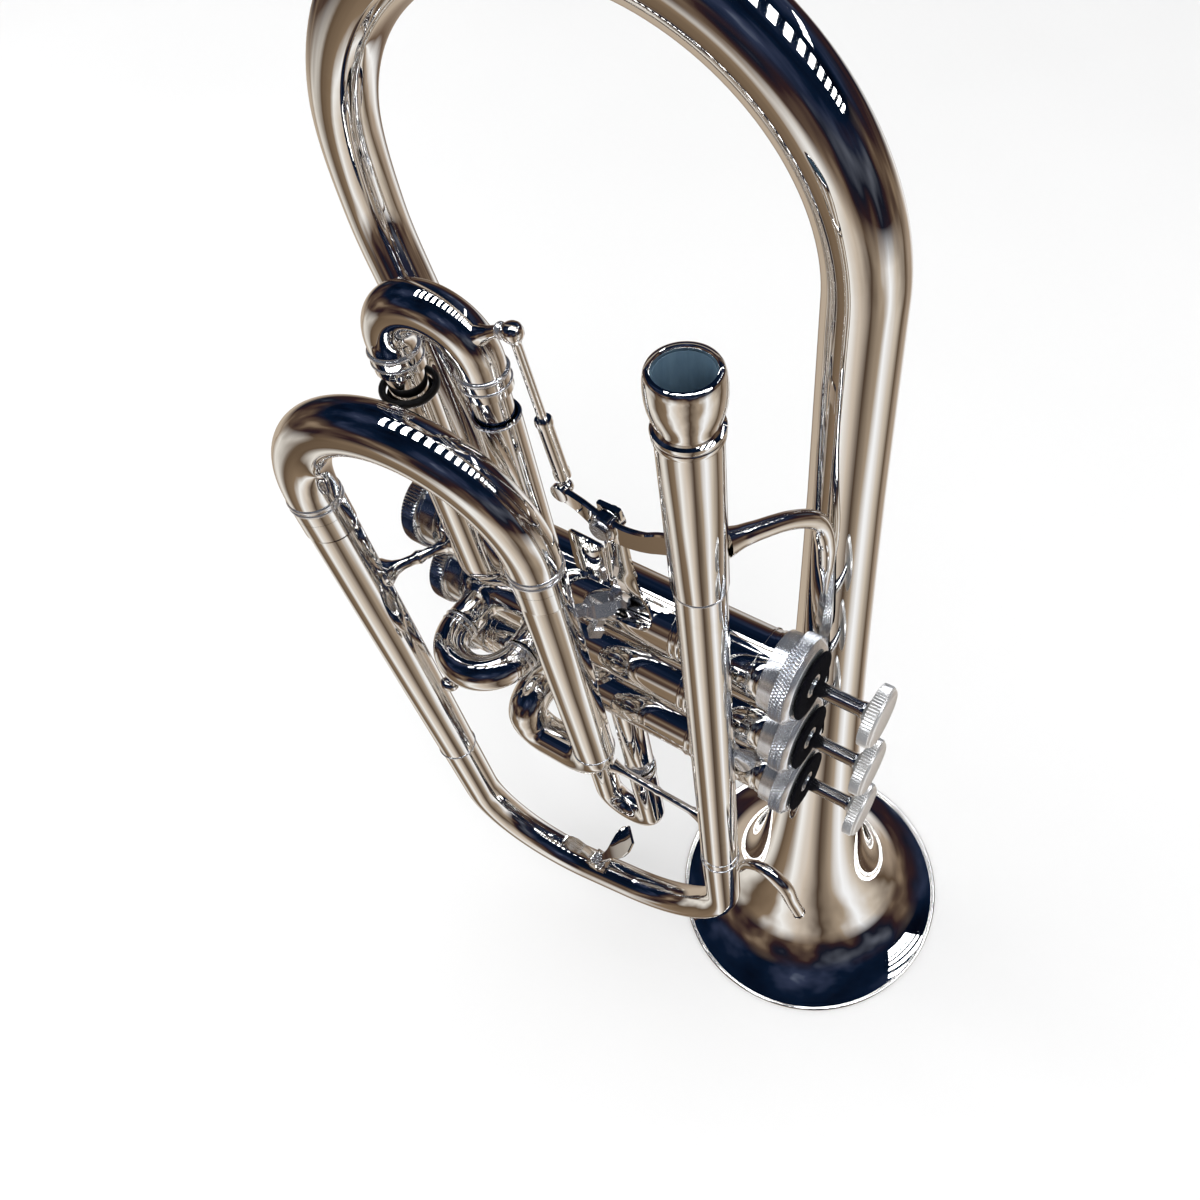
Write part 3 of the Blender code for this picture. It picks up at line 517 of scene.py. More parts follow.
silver = metal("silver_plate_mirror", (0.93, 0.92, 0.90), (0.84, 0.81, 0.75), 0.012, 0.045, 0.03)
turned_silver = brushed("silver_plate_turned", (0.93, 0.95, 0.98), (0.74, 0.77, 0.82), 0.12,
                        0.24, (1.0, 0.15, 0.15), 0.10, 0.86)
ring_silver = brushed("silver_plate_rings", (0.96, 0.97, 0.99), (0.88, 0.89, 0.92), 0.05,
                      0.13, (1.0, 1.0, 1.0), 0.04, 0.90)
satin_silver = brushed("silver_plate_satin", (0.92, 0.92, 0.91), (0.80, 0.80, 0.80), 0.24,
                       0.38, (0.5, 1.0, 1.0), 0.15, 0.72)
# Painted shade: the receiver socket's inside gets a dark bluish grey base colour that stands in
# for the shade down the bore. The plating itself is silver.
painted_shade_bore = brushed("painted_shade_in_bore", (0.17, 0.27, 0.36), (0.12, 0.20, 0.28), 0.30, 0.45,
                      (1.0, 1.0, 0.2), 0.10, 0.35)
stem_silver = brushed("silver_plate_stem", (0.90, 0.92, 0.94), (0.74, 0.77, 0.80), 0.06,
                      0.16, (0.2, 1.0, 1.0), 0.08)
steel = brushed("ground_steel", (0.66, 0.66, 0.67), (0.50, 0.50, 0.52), 0.16, 0.34,
                (0.15, 1.0, 1.0), 0.15)
felt = felt_finish()
rubber = rubber_finish()
TURNED_SHARP = 30                          # degrees, for edges of turned and knurled pieces
FELT_NAP = 0.00004                         # metres: how deep the felt's nap is


def plated(name, node, shells, body="horn"):
    """A mirror-plated piece that stands for one CAD node."""
    piece(name, body, [node], silver, shells)


# ---------------------------------------------------------------- valves

def make_casing(number):
    z = valve_z(number)
    wall = [(6, CASING_BORE), (6, 9.4), (6.3, CASING_R), (10.6, CASING_R), (10.8, 9.95),
            (12.0, 9.95), (12.2, 9.62), (13.6, 9.62), (13.75, 9.9), (14.2, 9.9), (14.35, 9.55),
            (34.6, 9.5), (34.8, 9.85), (35.3, 10.0), (35.8, 9.85), (36.0, 9.55), (36.6, 9.55),
            (36.8, 9.85), (37.3, 10.0), (37.8, 9.85), (38.0, 9.5), (113.2, 9.5), (113.4, 9.85),
            (113.9, 9.85), (114.1, 9.55), (115.3, 9.6), (115.5, 9.95), (116.8, 9.95),
            (117.0, 9.5), (123.7, 9.5), (124, 9.4), (124, CASING_BORE)]
    ports = {1: [(PORT_BELL, Z_AXIS, BRANCH_R)] + [(x, -Y_AXIS, SLEEVE_R) for x in PORT_FIRST],
             2: [(x, -Y_AXIS, SLEEVE_R) for x in PORT_SECOND],
             3: [(PORT_INLET, -Y_AXIS, TURN_R)] + [(x, -Z_AXIS, SLEEVE_R) for x in PORT_THIRD]}
    for x, rear in KNUCKLES.values():
        ports[rear].append((x, -Z_AXIS, KNUCKLE_R))
        ports[rear + 1].append((x, Z_AXIS, KNUCKLE_R))
    shells = [lathe((0, 0, z), VALVE_DOWN, wall, sides=96)]
    shells += [saddle((x, 0, z), outward, radius) for x, outward, radius in ports[number]]
    plated("casing_shell_%d" % number, "valve_casing_%d" % number, shells)


def knurled_band(start, end, radius, depth):
    """Rings of a diamond knurl between two places along the axis. Each ring's two sets of
    grooves are turned a little against each other, which makes them cross."""
    rows, turned = 18, 0.7
    floor, inset, shallow = radius - depth - 0.1, 0.12, 0.35
    entries = [(start, floor)]
    for i in range(rows + 1):
        along = start + inset + (end - start - 2 * inset) * i / rows
        share = shallow if i in (0, rows) else 1.0
        entries.append((along, radius - depth * (1 - share) * 0.8, depth * share, turned * i))
    return entries + [(end, floor)]


def coin_band(start, end, radius, depth):
    """Rings of a straight, coin-edge knurl between two places along the axis."""
    soft, flat = 0.15, 0.45
    return [(start, radius - depth - soft), (start + soft, radius - soft, depth * 0.6, 0),
            (start + flat, radius, depth, 0), (end - flat, radius, depth, 0),
            (end - soft, radius - soft, depth * 0.6, 0), (end, radius - depth - soft)]


def felt_section():
    """A flattened, rounded section for the felt ring under a button."""
    steps, centre, half_width, half_height, squareness = 24, 6.65, 2.95, 0.62, 1.25
    section = []
    for i in range(steps):
        turn = 2 * pi * i / steps
        out = max(-1, min(1, squareness * cos(turn)))
        section.append((-0.12 - half_height * sin(turn), centre + half_width * out))
    return section


def make_caps(number):
    z = valve_z(number)
    grip = CASING_R + 0.3
    skirt = [(10.5, grip), (10.5, 10.7), (10.3, 11.0), (6.5, 11.0), (6.35, 11.3), (6.2, 12.0)]
    band = knurled_band(6.1, 2.5, 12.5, 0.45)
    crown = [(2.4, 12.15), (2.2, 12.0), (1.25, 11.0), (1.05, 10.6), (1.0, 10.3), (1.0, 3.3),
             (-0.4, 3.3), (-0.4, 2.5), (3.5, 2.5), (3.5, grip)]
    piece("cap_top_%d" % number, "horn", ["top_cap_%d" % number], turned_silver,
          [lathe((0, 0, z), VALVE_DOWN, skirt + band + crown, teeth=80)], TURNED_SHARP)
    foot = [(117, grip), (117, 10.7), (117.2, 11.0), (122.6, 11.0), (122.9, 11.2)]
    foot += coin_band(123.0, 128.0, 12.5, 0.42)
    foot += [(128.3, 11.7), (128.7, 11.0), (129.5, 9.6), (130.1, 8.0), (130.5, 6.4),
             (130.7, 5.4), (131, 5.0), (131, 2.3), (130.8, 2.0), (126, 2.0), (126, grip)]
    piece("cap_bottom_%d" % number, "horn", ["bottom_cap_%d" % number], stem_silver,
          [lathe((0, 0, z), VALVE_DOWN, foot, teeth=76)], TURNED_SHARP)
    made = piece("felt_ring_%d" % number, "horn", ["cap_felt_%d" % number], felt,
                 [lathe((0, 0, z), VALVE_DOWN, felt_section(), sides=120)])
    draw = Random(number)
    for vertex in made.data.vertices:
        vertex.co += Vector([draw.uniform(-1, 1) for _ in range(3)]) * FELT_NAP


def make_piston_top(number):
    z = valve_z(number)
    stem = [(10.3, 2.1), (-13.6, 2.1), (-13.9, 2.3), (-14.7, 2.3)]
    piece("stem_%d" % number, "piston_%d" % number, ["piston_stem_%d" % number],
          stem_silver, [lathe((0, 0, z), VALVE_DOWN, stem, hollow=False)])
    button = [(14.75, 2.3), (15.0, 2.9), (15.5, 3.6), (15.9, 4.6), (16.1, 6.2), (16.2, 7.6)]
    button += coin_band(16.2, 19.2, 8.5, 0.38)
    button += [(19.35, 8.0), (19.6, 7.9), (19.85, 7.6), (20.05, 7.2), (20.1, 6.8), (19.95, 6.3),
               (19.85, 5.0), (19.8, 2.5), (19.78, 0.4)]
    piece("button_%d" % number, "piston_%d" % number, ["finger_button_%d" % number],
          satin_silver, [lathe((0, 0, z), (1, 0, 0), button, hollow=False, teeth=60)],
          TURNED_SHARP)


def make_knuckles():
    """Short tubes between neighbouring casings, each with a flat band round its middle."""
    for name, (x, rear) in KNUCKLES.items():
        start, end = valve_z(rear) - KNUCKLE_REACH, valve_z(rear + 1) + KNUCKLE_REACH
        half = (start - end) / 2
        profile = [(0, KNUCKLE_R), (half - 1.0, KNUCKLE_R), (half - 0.6, KNUCKLE_BAND_R),
                   (half + 0.6, KNUCKLE_BAND_R), (half + 1.0, KNUCKLE_R),
                   (start - end, KNUCKLE_R)]
        tube = lathe((x, 0, start), (0, 0, -1), profile, hollow=False)
        plated(name + "_tube", name, [cut_at_bore(cut_at_bore(tube, rear, 2), rear + 1, 2)])


# ---------------------------------------------------------------- wrap

def on_leadpipe(z):
    """The point at a height on the leadpipe's slightly leaning axis."""
    share = (RECEIVER_TOP - z) / (RECEIVER_TOP - BOW_TOP)
    return Vector((LEADPIPE_X + (LEADPIPE_FRONT_X - LEADPIPE_X) * share, LEADPIPE_Y, z))


LEAN = (on_leadpipe(100) - on_leadpipe(0)).normalized()


def leaning_lathe(profile, sides=64):
    """Turned about the leadpipe; profile is (height, radius)."""
    return lathe(on_leadpipe(0), LEAN, [(z / LEAN.z, radius) for z, radius in profile],
                 sides=sides)


def make_leadpipe():
    barrel = [(109.2, 5.3), (109.5, 5.6), (109.5, 6.1), (109.3, 6.45), (108.8, 6.7),
              (107.5, 6.95), (105.8, 7.08), (104.0, 7.05), (102.2, 6.85), (100.6, 6.5),
              (99.3, 6.15), (98.3, 5.95), (97.7, 5.95), (97.5, 6.3), (97.3, 6.6), (96.8, 6.72),
              (96.3, 6.6), (96.1, 6.35), (95.9, 6.5), (95.4, 6.6), (94.9, 6.5), (94.7, 6.25),
              (93.5, 6.2), (53.0, 6.2), (52.7, 6.1), (52.5, 5.9), (52.5, 4.6), (70.0, 4.65),
              (88.0, 4.75), (92.0, 4.9), (98.0, 5.0), (104.0, 5.1), (108.5, 5.2)]
    plated("receiver_barrel", "mouthpiece_receiver", [leaning_lathe(barrel, 96)])
    inside = [(60.0, 0.3), (60.0, 4.2), (88.0, 4.55), (89.0, 4.75), (108.4, 5.15), (108.4, 5.3),
              (59.0, 5.0), (59.0, 0.3)]
    # The socket's inside wears the painted shade of the bore.
    piece("receiver_socket", "horn", [], painted_shade_bore, [leaning_lathe(inside)])
    shells = [pipe(line(on_leadpipe(52.4), on_leadpipe(BOW_TOP), 40),
                   [5.75, 5.85, 6.0, 6.15, 6.3], [4.6, 4.8, 5.0, 5.2, 5.4], 72),
              bead(on_leadpipe(-98.0), LEAN, 6.3, 0.18), bead(on_leadpipe(52.0), LEAN, 5.7, 0.35)]
    plated("leadpipe_tube", "leadpipe", shells)
    front = on_leadpipe(BOW_TOP - SEAM)
    lower = Vector((LOWER_X, LOWER_Y, BOW_TOP - SEAM))
    route = rounded([front, (front.x - 0.8, front.y, BOW_BOTTOM),
                     (lower.x, lower.y, BOW_BOTTOM), lower], [BOW_BEND, BOW_BEND], 30)
    shells = [pipe(route, BOW_R, BOW_BORE, 64), bead(front, LEAN, BOW_R - SEAM, 0.3),
              bead(lower, Z_AXIS, BOW_R - SEAM, 0.3)]
    plated("front_bow_tube", "front_bow", shells)


def slide_leg(name, body, node, x, y, end, ferrule, top, leg, ferrule_r):
    """An inner slide tube of radius leg from end up to a thicker ferrule, which ends at top."""
    profile = [(end, leg - 0.7), (end, leg - 0.2), (end + 0.3, leg), (ferrule - 0.05, leg),
               (ferrule, ferrule_r - 0.35), (ferrule + 0.35, ferrule_r), (top, ferrule_r),
               (top, leg - 0.7)]
    plated(name, node, [lathe((x, y, 0), (0, 0, 1), profile, sides=72)], body)


def rolled_lip(z, radius, bore):
    """The profile of a tube's upper mouth with a softly rolled lip."""
    return [(z - 0.4, bore), (z, bore + 0.15), (z, radius - 0.15), (z - 0.35, radius)]


def make_main_slide():
    seams = {"lower": (LOWER_X, LOWER_Y, BOW_TOP, "lower_tube"),
             "upper": (UPPER_X, UPPER_Y, UPPER_END, "main_slide_outer_tube")}
    for side, (x, y, bottom, node) in seams.items():
        profile = [(bottom, MAIN_BORE)] + rolled_lip(MAIN_MOUTH, MAIN_R, MAIN_BORE)
        profile += [(bottom, MAIN_R)]
        shells = [lathe((x, y, 0), (0, 0, 1), profile, sides=72),
                  bead((x, y, bottom + 0.6), Z_AXIS, MAIN_R, 0.3)]
        plated("main_%s_outer" % side, node, shells)
        slide_leg("main_%s_leg" % side, "main_slide", "main_slide_%s_leg" % side, x, y, -38.0,
                  22.3, 29.0, 5.6, 6.95)
    low, high = Vector((LOWER_X, LOWER_Y, MAIN_FOOT)), Vector((UPPER_X, UPPER_Y, MAIN_FOOT))
    rise = Vector((0, 0, MAIN_RISE))
    route = [low] + arc(low + rise, high + rise, Z_AXIS, 72) + [high]
    shells = [pipe(route, MAIN_CROOK_R, 6.1, 72)]
    for foot in (low, high):
        shells += [bead(foot + Z_AXIS * 5.3, Z_AXIS, 6.68, 0.5, flat=1.25),
                   bead(foot + Z_AXIS * 3.75, Z_AXIS, 6.78, 0.4, flat=1.2),
                   lathe(foot + Z_AXIS * 0.2, Z_AXIS,
                         [(0, 5.9), (0, 6.95), (3.3, 6.95), (3.3, 5.9)], sides=72)]
    plated("main_crook", "main_slide_crook", shells, "main_slide")
    z3 = valve_z(3)
    route = rounded([(UPPER_X, UPPER_Y, -60.3), (UPPER_X, UPPER_Y, -71),
                     (PORT_INLET, UPPER_Y, -71), (PORT_INLET, UPPER_Y, z3),
                     (PORT_INLET, -8.0, z3)], [10, 7.5, 6.8], 14)
    plated("third_valve_turn", "third_valve_knuckle",
           [cut_at_bore(pipe(route, TURN_R, None, 56), 3, 1)])


def make_first_slide():
    inside = -4.0
    for side, (x, y, bend) in FIRST_LEGS.items():
        end = Vector((x, y, FIRST_MOUTH))
        route = rounded([end, (x, y, 0), (x, inside, 0)], [min(bend, inside - y - 0.3)], 14)
        shells = [pipe(route, SLEEVE_R, SLEEVE_BORE, 56),
                  bead(end - Z_AXIS * 0.5, Z_AXIS, SLEEVE_R - 0.05, 0.25)]
        plated("first_%s_outer" % side, "first_slide_%s_sleeve" % side, shells)
        slide_leg("first_%s_leg" % side, "first_slide", "first_slide_%s_leg" % side, x, y,
                  25.0, 73.0, 77.5, 4.5, 5.7)
    low, high = [Vector((x, y, FIRST_FOOT)) for x, y, _ in FIRST_LEGS.values()]
    rise = Vector((0, 0, FIRST_RISE))
    route = [low] + arc(low + rise, high + rise, Z_AXIS, 56) + [high]
    shells = [pipe(route, CROOK_R, CROOK_BORE, 64)]
    for foot in (low, high):
        shells += [bead(foot + Z_AXIS * 1.0, Z_AXIS, 5.5, 0.5),
                   bead(foot - Z_AXIS * 1.6, Z_AXIS, 5.6, 0.4)]
    post = [ROD_BALL + Vector((-9.8, -0.6, -4.0)), ROD_BALL + Vector((-6.6, -0.4, -2.4)),
            ROD_BALL + Vector((-3.6, -0.1, -0.9)), ROD_BALL + Vector((-1.4, 0, 0))]
    shells += [pipe(smooth(post, 6), [3.0, 1.9, 1.4, 1.2, 1.2, 1.2], None, 28),
               bead(ROD_BALL + Vector((-2.9, -0.1, -0.6)), Vector((3, 0, 0.9)), 1.2, 0.6, 28)]
    plated("first_crook", "first_slide_crook", shells, "first_slide")
    steps = 20
    profile = [(0.95 - 0.95 * cos(2 * pi * i / steps), 6.15 + 0.80 * sin(2 * pi * i / steps))
               for i in range(steps)]
    piece("stop_ring", "first_slide", ["first_slide_bumper"], rubber,
          [lathe((low.x, low.y, FIRST_MOUTH + 0.3), Z_AXIS, profile, sides=80)])


def make_second_slide():
    z = valve_z(2)
    for side, x in (("lower", PORT_SECOND[0]), ("upper", PORT_SECOND[1])):
        profile = [(4.0, 4.9), (16.6, 4.9), (17.0, 5.05), (17.0, 5.35), (16.7, 5.5), (4.0, 5.5)]
        plated("second_%s_outer" % side, "second_slide_%s_sleeve" % side,
               [cut_at_bore(lathe((x, 0, z), -Y_AXIS, profile, sides=56), 2, 1)])
    bend = arc((PORT_SECOND[0], SECOND_BEND, z), (PORT_SECOND[1], SECOND_BEND, z), -Y_AXIS, 48)
    shells = [pipe([bend[0] + Y_AXIS * 1.2] + bend + [bend[-1] + Y_AXIS * 1.2],
                   CROOK_R, None, 56)]
    for x in PORT_SECOND:
        shells += [lathe((x, 0, z), -Y_AXIS, [(10.6, 3.8), (10.6, 4.3), (10.9, 4.5),
                                              (18.0, 4.5), (18.0, 3.8)], sides=48),
                   bead((x, -18.2, z), Y_AXIS, 5.3, 0.55), bead((x, -20.0, z), Y_AXIS, 5.4, 0.3)]
    down = (KNOB - Vector(KNOB_ROOT)).normalized()
    neck = [(-5.4, 2.2), (-3.0, 2.2), (-2.6, 1.9), (-2.0, 1.6), (-1.0, 1.6)]
    shells += [lathe(KNOB, down, neck, hollow=False, sides=32), ball(KNOB, 2.9, 0.72, down)]
    plated("second_crook", "second_slide_crook", shells, "second_slide")


def make_third_slide():
    z3, y = valve_z(3), THIRD_Y
    for side, x in (("lower", PORT_THIRD[0]), ("upper", PORT_THIRD[1])):
        profile = [(z3 - 4, 4.9), (z3 - 4, 5.5), (-117.7, 5.5), (-118, 5.35), (-118, 5.05),
                   (-117.6, 4.9)]
        shells = [cut_at_bore(lathe((x, y, 0), Z_AXIS, profile, sides=56), 3, 2),
                  bead((x, y, -117.0), Z_AXIS, 5.45, 0.3)]
        plated("third_%s_outer" % side, "third_slide_%s_sleeve" % side, shells)
    ends = [Vector((x, y, THIRD_FOOT)) for x in PORT_THIRD]
    bend = arc((PORT_THIRD[0], y, THIRD_BEND), (PORT_THIRD[1], y, THIRD_BEND), -Z_AXIS, 48)
    shells = [pipe([ends[0]] + bend + [ends[1]], CROOK_R, CROOK_BORE, 56)]
    for foot in ends:
        shells += [lathe(foot, -Z_AXIS, [(-46.0, 3.8), (-46.0, 4.3), (-45.7, 4.5), (0.5, 4.5),
                                         (0.5, 3.8)], sides=56),
                   lathe(foot, -Z_AXIS, [(-0.1, 4.4), (-0.1, 5.7), (0.2, 5.9), (5.2, 5.9),
                                         (5.5, 5.7), (5.5, 4.4)], sides=56),
                   bead(foot - Z_AXIS * 0.9, Z_AXIS, 5.85, 0.25)]
    plated("third_crook", "third_slide_crook", shells, "third_slide")


# ---------------------------------------------------------------- bell

def bow_point(angle):
    """A point of the rear bow: 0 above the bell's stem, pi above the bell branch."""
    across = (1 - cos(angle)) * BOW_REACH
    return Vector((BELL_X - across, BELL_Y - BOW_SWAY * across / BOW_REACH,
                   BELL_TOP + BOW_HEIGHT * sin(angle)))


def make_bell():
    """The flare, the stem above it and half of the rear bow in one tube, then the branch
    from the bow's middle down to valve 1."""
    flare_steps, stem_steps, bow_steps, rim_steps, crowding = 90, 12, 40, 18, 2.2
    length, rim = BELL_TOP - BELL_RIM - FLARE_END, 0.3
    stations = [rim + (length - rim) * (i / flare_steps) ** crowding
                for i in range(flare_steps + 1)]
    path = [Vector((BELL_X, BELL_Y, BELL_RIM + s)) for s in stations]
    outer = [BELL_RIM_R * (BELL_SOFT / (s + BELL_SOFT)) ** BELL_POWER for s in stations]
    start_r = outer[-1]
    path += line(path[-1], (BELL_X, BELL_Y, BELL_TOP), stem_steps)[1:]
    outer += [start_r + (STEM_R - start_r) * i / stem_steps for i in range(1, stem_steps + 1)]
    for i in range(1, bow_steps + 1):
        path.append(bow_point(pi / 2 * i / bow_steps))
        outer.append(STEM_R - (STEM_R - BOW_MIDDLE_R) * i / bow_steps)
    bore = [radius - BELL_WALL for radius in outer]
    rolled = []
    for i in range(rim_steps):
        turn = 2 * pi * i / rim_steps
        rolled.append((0.62 * (1 - cos(turn)), BELL_RIM_R + 0.02 + 0.58 * sin(turn)))
    shells = [pipe(path, outer, bore, 144),
              lathe((BELL_X, BELL_Y, BELL_RIM), Z_AXIS, rolled, sides=144)]
    end = path[-1]
    shells += [bead(end + X_AXIS * 1.2, X_AXIS, 6.95, 0.33)]
    plated("bell_body", "bell", shells)
    rest = [end + X_AXIS * 0.2]
    rest += [bow_point(pi * (0.5 + 0.4 * i / 30)) for i in range(1, 31)]
    # the curve's first span only sets its direction where it leaves the bow
    rest += smooth([rest[-12], rest[-1], (-123.5, 14.6, 88), (-115, 10.6, 66), (-104, 5.6, 40),
                    (PORT_BELL, 1.5, 18), (PORT_BELL, 0, 6)], 12)[13:]
    count = len(rest)
    taper = [BOW_MIDDLE_R - i / (count - 1) for i in range(count)]
    shells = [pipe(rest, taper, None, 64), bead(rest[0] - X_AXIS * 0.9, X_AXIS, 7.0, 0.27),
              bead((PORT_BELL, 0.9, 15.5), Vector((0, 0.08, 1)), 6.2, 0.35)]
    plated("bell_branch", "bell_bow", shells)


# ---------------------------------------------------------------- trigger and fittings

def make_trigger():
    px, py, pz = PIVOT
    route = smooth([LEVER_BALL - Y_AXIS * 2.1, (-55.5, py, 48.5), (px, py, pz),
                    (-44, py, 44.2), (-38, py, 45.6), (-32, py, 48.5), (-25, py, 50)], 10)
    shells = [strip(route, [4.2, 4.6, 6.0, 6.6, 6.2, 5.8, 6.4, 6.9], 1.6, Y_AXIS, 0.35),
              lathe(PIVOT, Y_AXIS, [(-1.4, 1.5), (-1.4, 3.5), (-1.1, 3.8), (1.0, 3.8),
                                    (1.3, 3.5), (1.3, 1.5)], sides=48),
              lathe(LEVER_BALL - Y_AXIS * 2.6, Y_AXIS,
                    [(-0.6, 0.6), (-0.6, 2.1), (-0.3, 2.4), (0.9, 2.4), (1.2, 1.2),
                     (1.9, 1.1)], hollow=False, sides=32),
              ball(LEVER_BALL, 1.75)]
    plated("trigger_arm", "trigger_lever", shells, "trigger")
    foot = [(px, -6.4, 7), (px, -7.2, 14), (px, -8.0, 18.5), (px, py + 2.6, 25),
            (px, py + 2.6, 30), (px, py + 2.6, pz + 4.0)]
    shells = [strip(smooth(foot, 6), [12, 12, 11, 9.4, 8.2, 7.0, 6.4], 1.5, Y_AXIS, 0.35),
              lathe((px, py + 2.6, pz + 0.2), Y_AXIS,
                    [(-0.9, 1.5), (-0.9, 3.2), (0.9, 3.6), (0.9, 1.5)], sides=48)]
    slope = Vector((0, -sin(BRACKET_SLOPE), cos(BRACKET_SLOPE)))
    shells += [plate(stadium(6.5, 4.5), (px - 1, -9.1, 5.0), X_AXIS, slope, 1.3)]
    tall = [(-4.8, -7.0), (4.3, -7.4), (4.9, -6.8), (5.2, 6.4), (4.6, 7.1), (-4.2, 7.6),
            (-4.9, 7.0), (-5.3, -6.4)]
    shells += [plate(tall, (px - 8.3, py + 1.15, 27.6), X_AXIS, Z_AXIS, 1.2, 0.3),
               strip([(px - 13.0, py + 1.9, 19.4), (px - 3.6, py + 1.9, 19.0)], 3.2, 1.2,
                     Vector((0, -0.8, 0.6)), 0.3),
               lathe((px - 8.6, py + 0.75, 30.4), -Y_AXIS, [(-0.3, 0.5), (-0.3, 1.2), (0.0, 1.2),
                                                            (0.2, 1.0), (0.2, 0.5)],
                     sides=28),
               plate(stadium(3.3, 1.9), (px - 1.6, py + 4.0, pz - 0.6), X_AXIS,
                     Vector((0, 0.35, 1)), 1.0)]
    plated("trigger_plate", "trigger_bracket", shells)
    screw = [(-2.7, 0.5), (-2.75, 2.2), (-2.45, 2.6), (-1.55, 2.9), (-1.3, 2.9), (-1.2, 1.3),
             (4.1, 1.3), (4.2, 1.9), (4.9, 1.9), (5.0, 1.6)]
    piece("pivot_screw", "horn", ["trigger_pivot_screw"], steel,
          [lathe(PIVOT, Y_AXIS, screw, hollow=False, sides=48)])
    along = (LEVER_BALL - ROD_BALL).normalized()
    length = (LEVER_BALL - ROD_BALL).length
    collar = length * 0.52
    rod = [(-1.9, 0.6), (-1.7, 1.5), (-1.1, 2.1), (-0.2, 2.35), (0.8, 2.25), (1.6, 1.7),
           (2.1, 1.2), (3.0, 1.05), (collar, 1.05), (collar + 0.05, 1.9), (collar + 0.5, 2.05),
           (collar + 1.4, 2.05), (collar + 1.6, 1.8), (length - 5.4, 1.8), (length - 4.8, 2.0),
           (length - 3.2, 2.0), (length - 2.2, 1.2)]
    piece("trigger_link", "trigger_rod", ["trigger_rod"], silver,
          [lathe(ROD_BALL, along, rod, hollow=False, sides=40)])


def turned_span(start, end, profile, sides=36):
    """A turned bar between two points; profile is (share of the length, radius)."""
    start, end = Vector(start), Vector(end)
    length = (end - start).length
    return lathe(start, end - start, [(share * length, radius) for share, radius in profile],
                 hollow=False, sides=sides)


def make_braces():
    route = smooth([(-16.5, -11.7, 59.5), (-13.3, -5, 58), (-9.5, 4, 54.5), (-6.6, 10.6, 49),
                    (-5.2, 12.6, 41), (-4.6, 12.5, 32), (-4.4, 12.6, 22)], 10)
    shells = [pipe(route, [3.4, 2.5, 2.2, 2.1, 2.1, 2.2, 2.2, 2.4, 2.3, 2.0, 1.3, 0.7], None, 32)]
    plated("bell_stay", "bell_brace", shells)
    side = Vector((-112, -8.3, 0))
    lower = Vector((LOWER_X, LOWER_Y, -3))
    near = lower + (side - lower).normalized() * 5.9
    stay = [(0, 4.2), (0.05, 4.0), (0.1, 2.9), (0.17, 2.1), (0.28, 1.6), (0.42, 1.55),
            (0.47, 1.9), (0.50, 2.1), (0.53, 1.9), (0.58, 1.55), (0.72, 1.6), (0.83, 2.2),
            (0.9, 3.2), (0.94, 4.0), (1, 4.4)]
    plated("casing_stay", "valve_brace", [turned_span(side, near, stay)])
    thin = [(0, 2.6), (0.06, 1.9), (0.14, 1.3), (0.46, 1.25), (0.5, 1.6), (0.54, 1.25),
            (0.86, 1.3), (0.94, 1.9), (1, 2.6)]
    plated("leadpipe_stay", "leadpipe_brace",
           [turned_span((UPPER_X + 6.2, UPPER_Y, -66.3),
                        (on_leadpipe(-77).x - 5.8, LEADPIPE_Y, -77.1), thin)])
    upper, landing = Vector((UPPER_X, UPPER_Y, 12)), Vector((-52.2, -6.6, 9.4))
    facet = [(0, 2.2), (0.18, 2.0), (0.28, 3.3), (0.36, 3.8), (0.68, 3.8), (0.78, 3.2),
             (0.82, 2.1), (0.9, 2.2), (1, 2.8)]
    shells = [turned_span(upper + (landing - upper).normalized() * 6.0, landing, facet, 6),
              turned_span((-56.0, -12.2, 6.0), (-58.7, -14.2, -1.4),
                          [(0, 1.3), (0.42, 1.3), (0.48, 2.3), (0.92, 2.3), (1, 1.6)], 4)]
    piece("faceted_stay", "horn", ["slide_brace"], ring_silver, shells, 20)
    post = [(0, 3.8), (0.08, 3.1), (0.14, 2.2), (0.3, 1.8), (0.34, 2.4), (0.40, 2.4),
            (0.44, 1.8), (0.6, 2.0), (0.8, 2.6), (0.88, 3.0), (1, 3.4)]
    shells = [turned_span(on_leadpipe(-30) + Y_AXIS * 5.4, (-16.5, -7.5, -46), post)]
    piece("casing_post", "horn", [], turned_silver, shells)


def make_hook():
    """The finger hook on the leadpipe: an arch in X and Z, with a rolled tip."""
    arch = [(-13.6, -106.0), (-11.3, -98.6), (-7.6, -94.3), (-3.4, -93.2), (0.6, -95.6),
            (4.2, -100.2), (6.6, -108.2), (9.6, -116.6)]
    route = smooth([(x, LEADPIPE_Y, z) for x, z in arch], 10)
    shells = [pipe(route, [1.2, 1.6, 1.7, 1.8, 2.0, 2.2, 2.4, 2.5, 2.4, 2.2, 2.0], None, 36)]
    tip = (route[-1] - route[-2]).normalized()
    shells.append(lathe(route[-1], tip, [(-0.6, 1.5), (-0.6, 2.25), (0.0, 2.3), (0.25, 2.1),
                                         (0.25, 1.5)], sides=36))
    plated("hook", "finger_hook", shells)


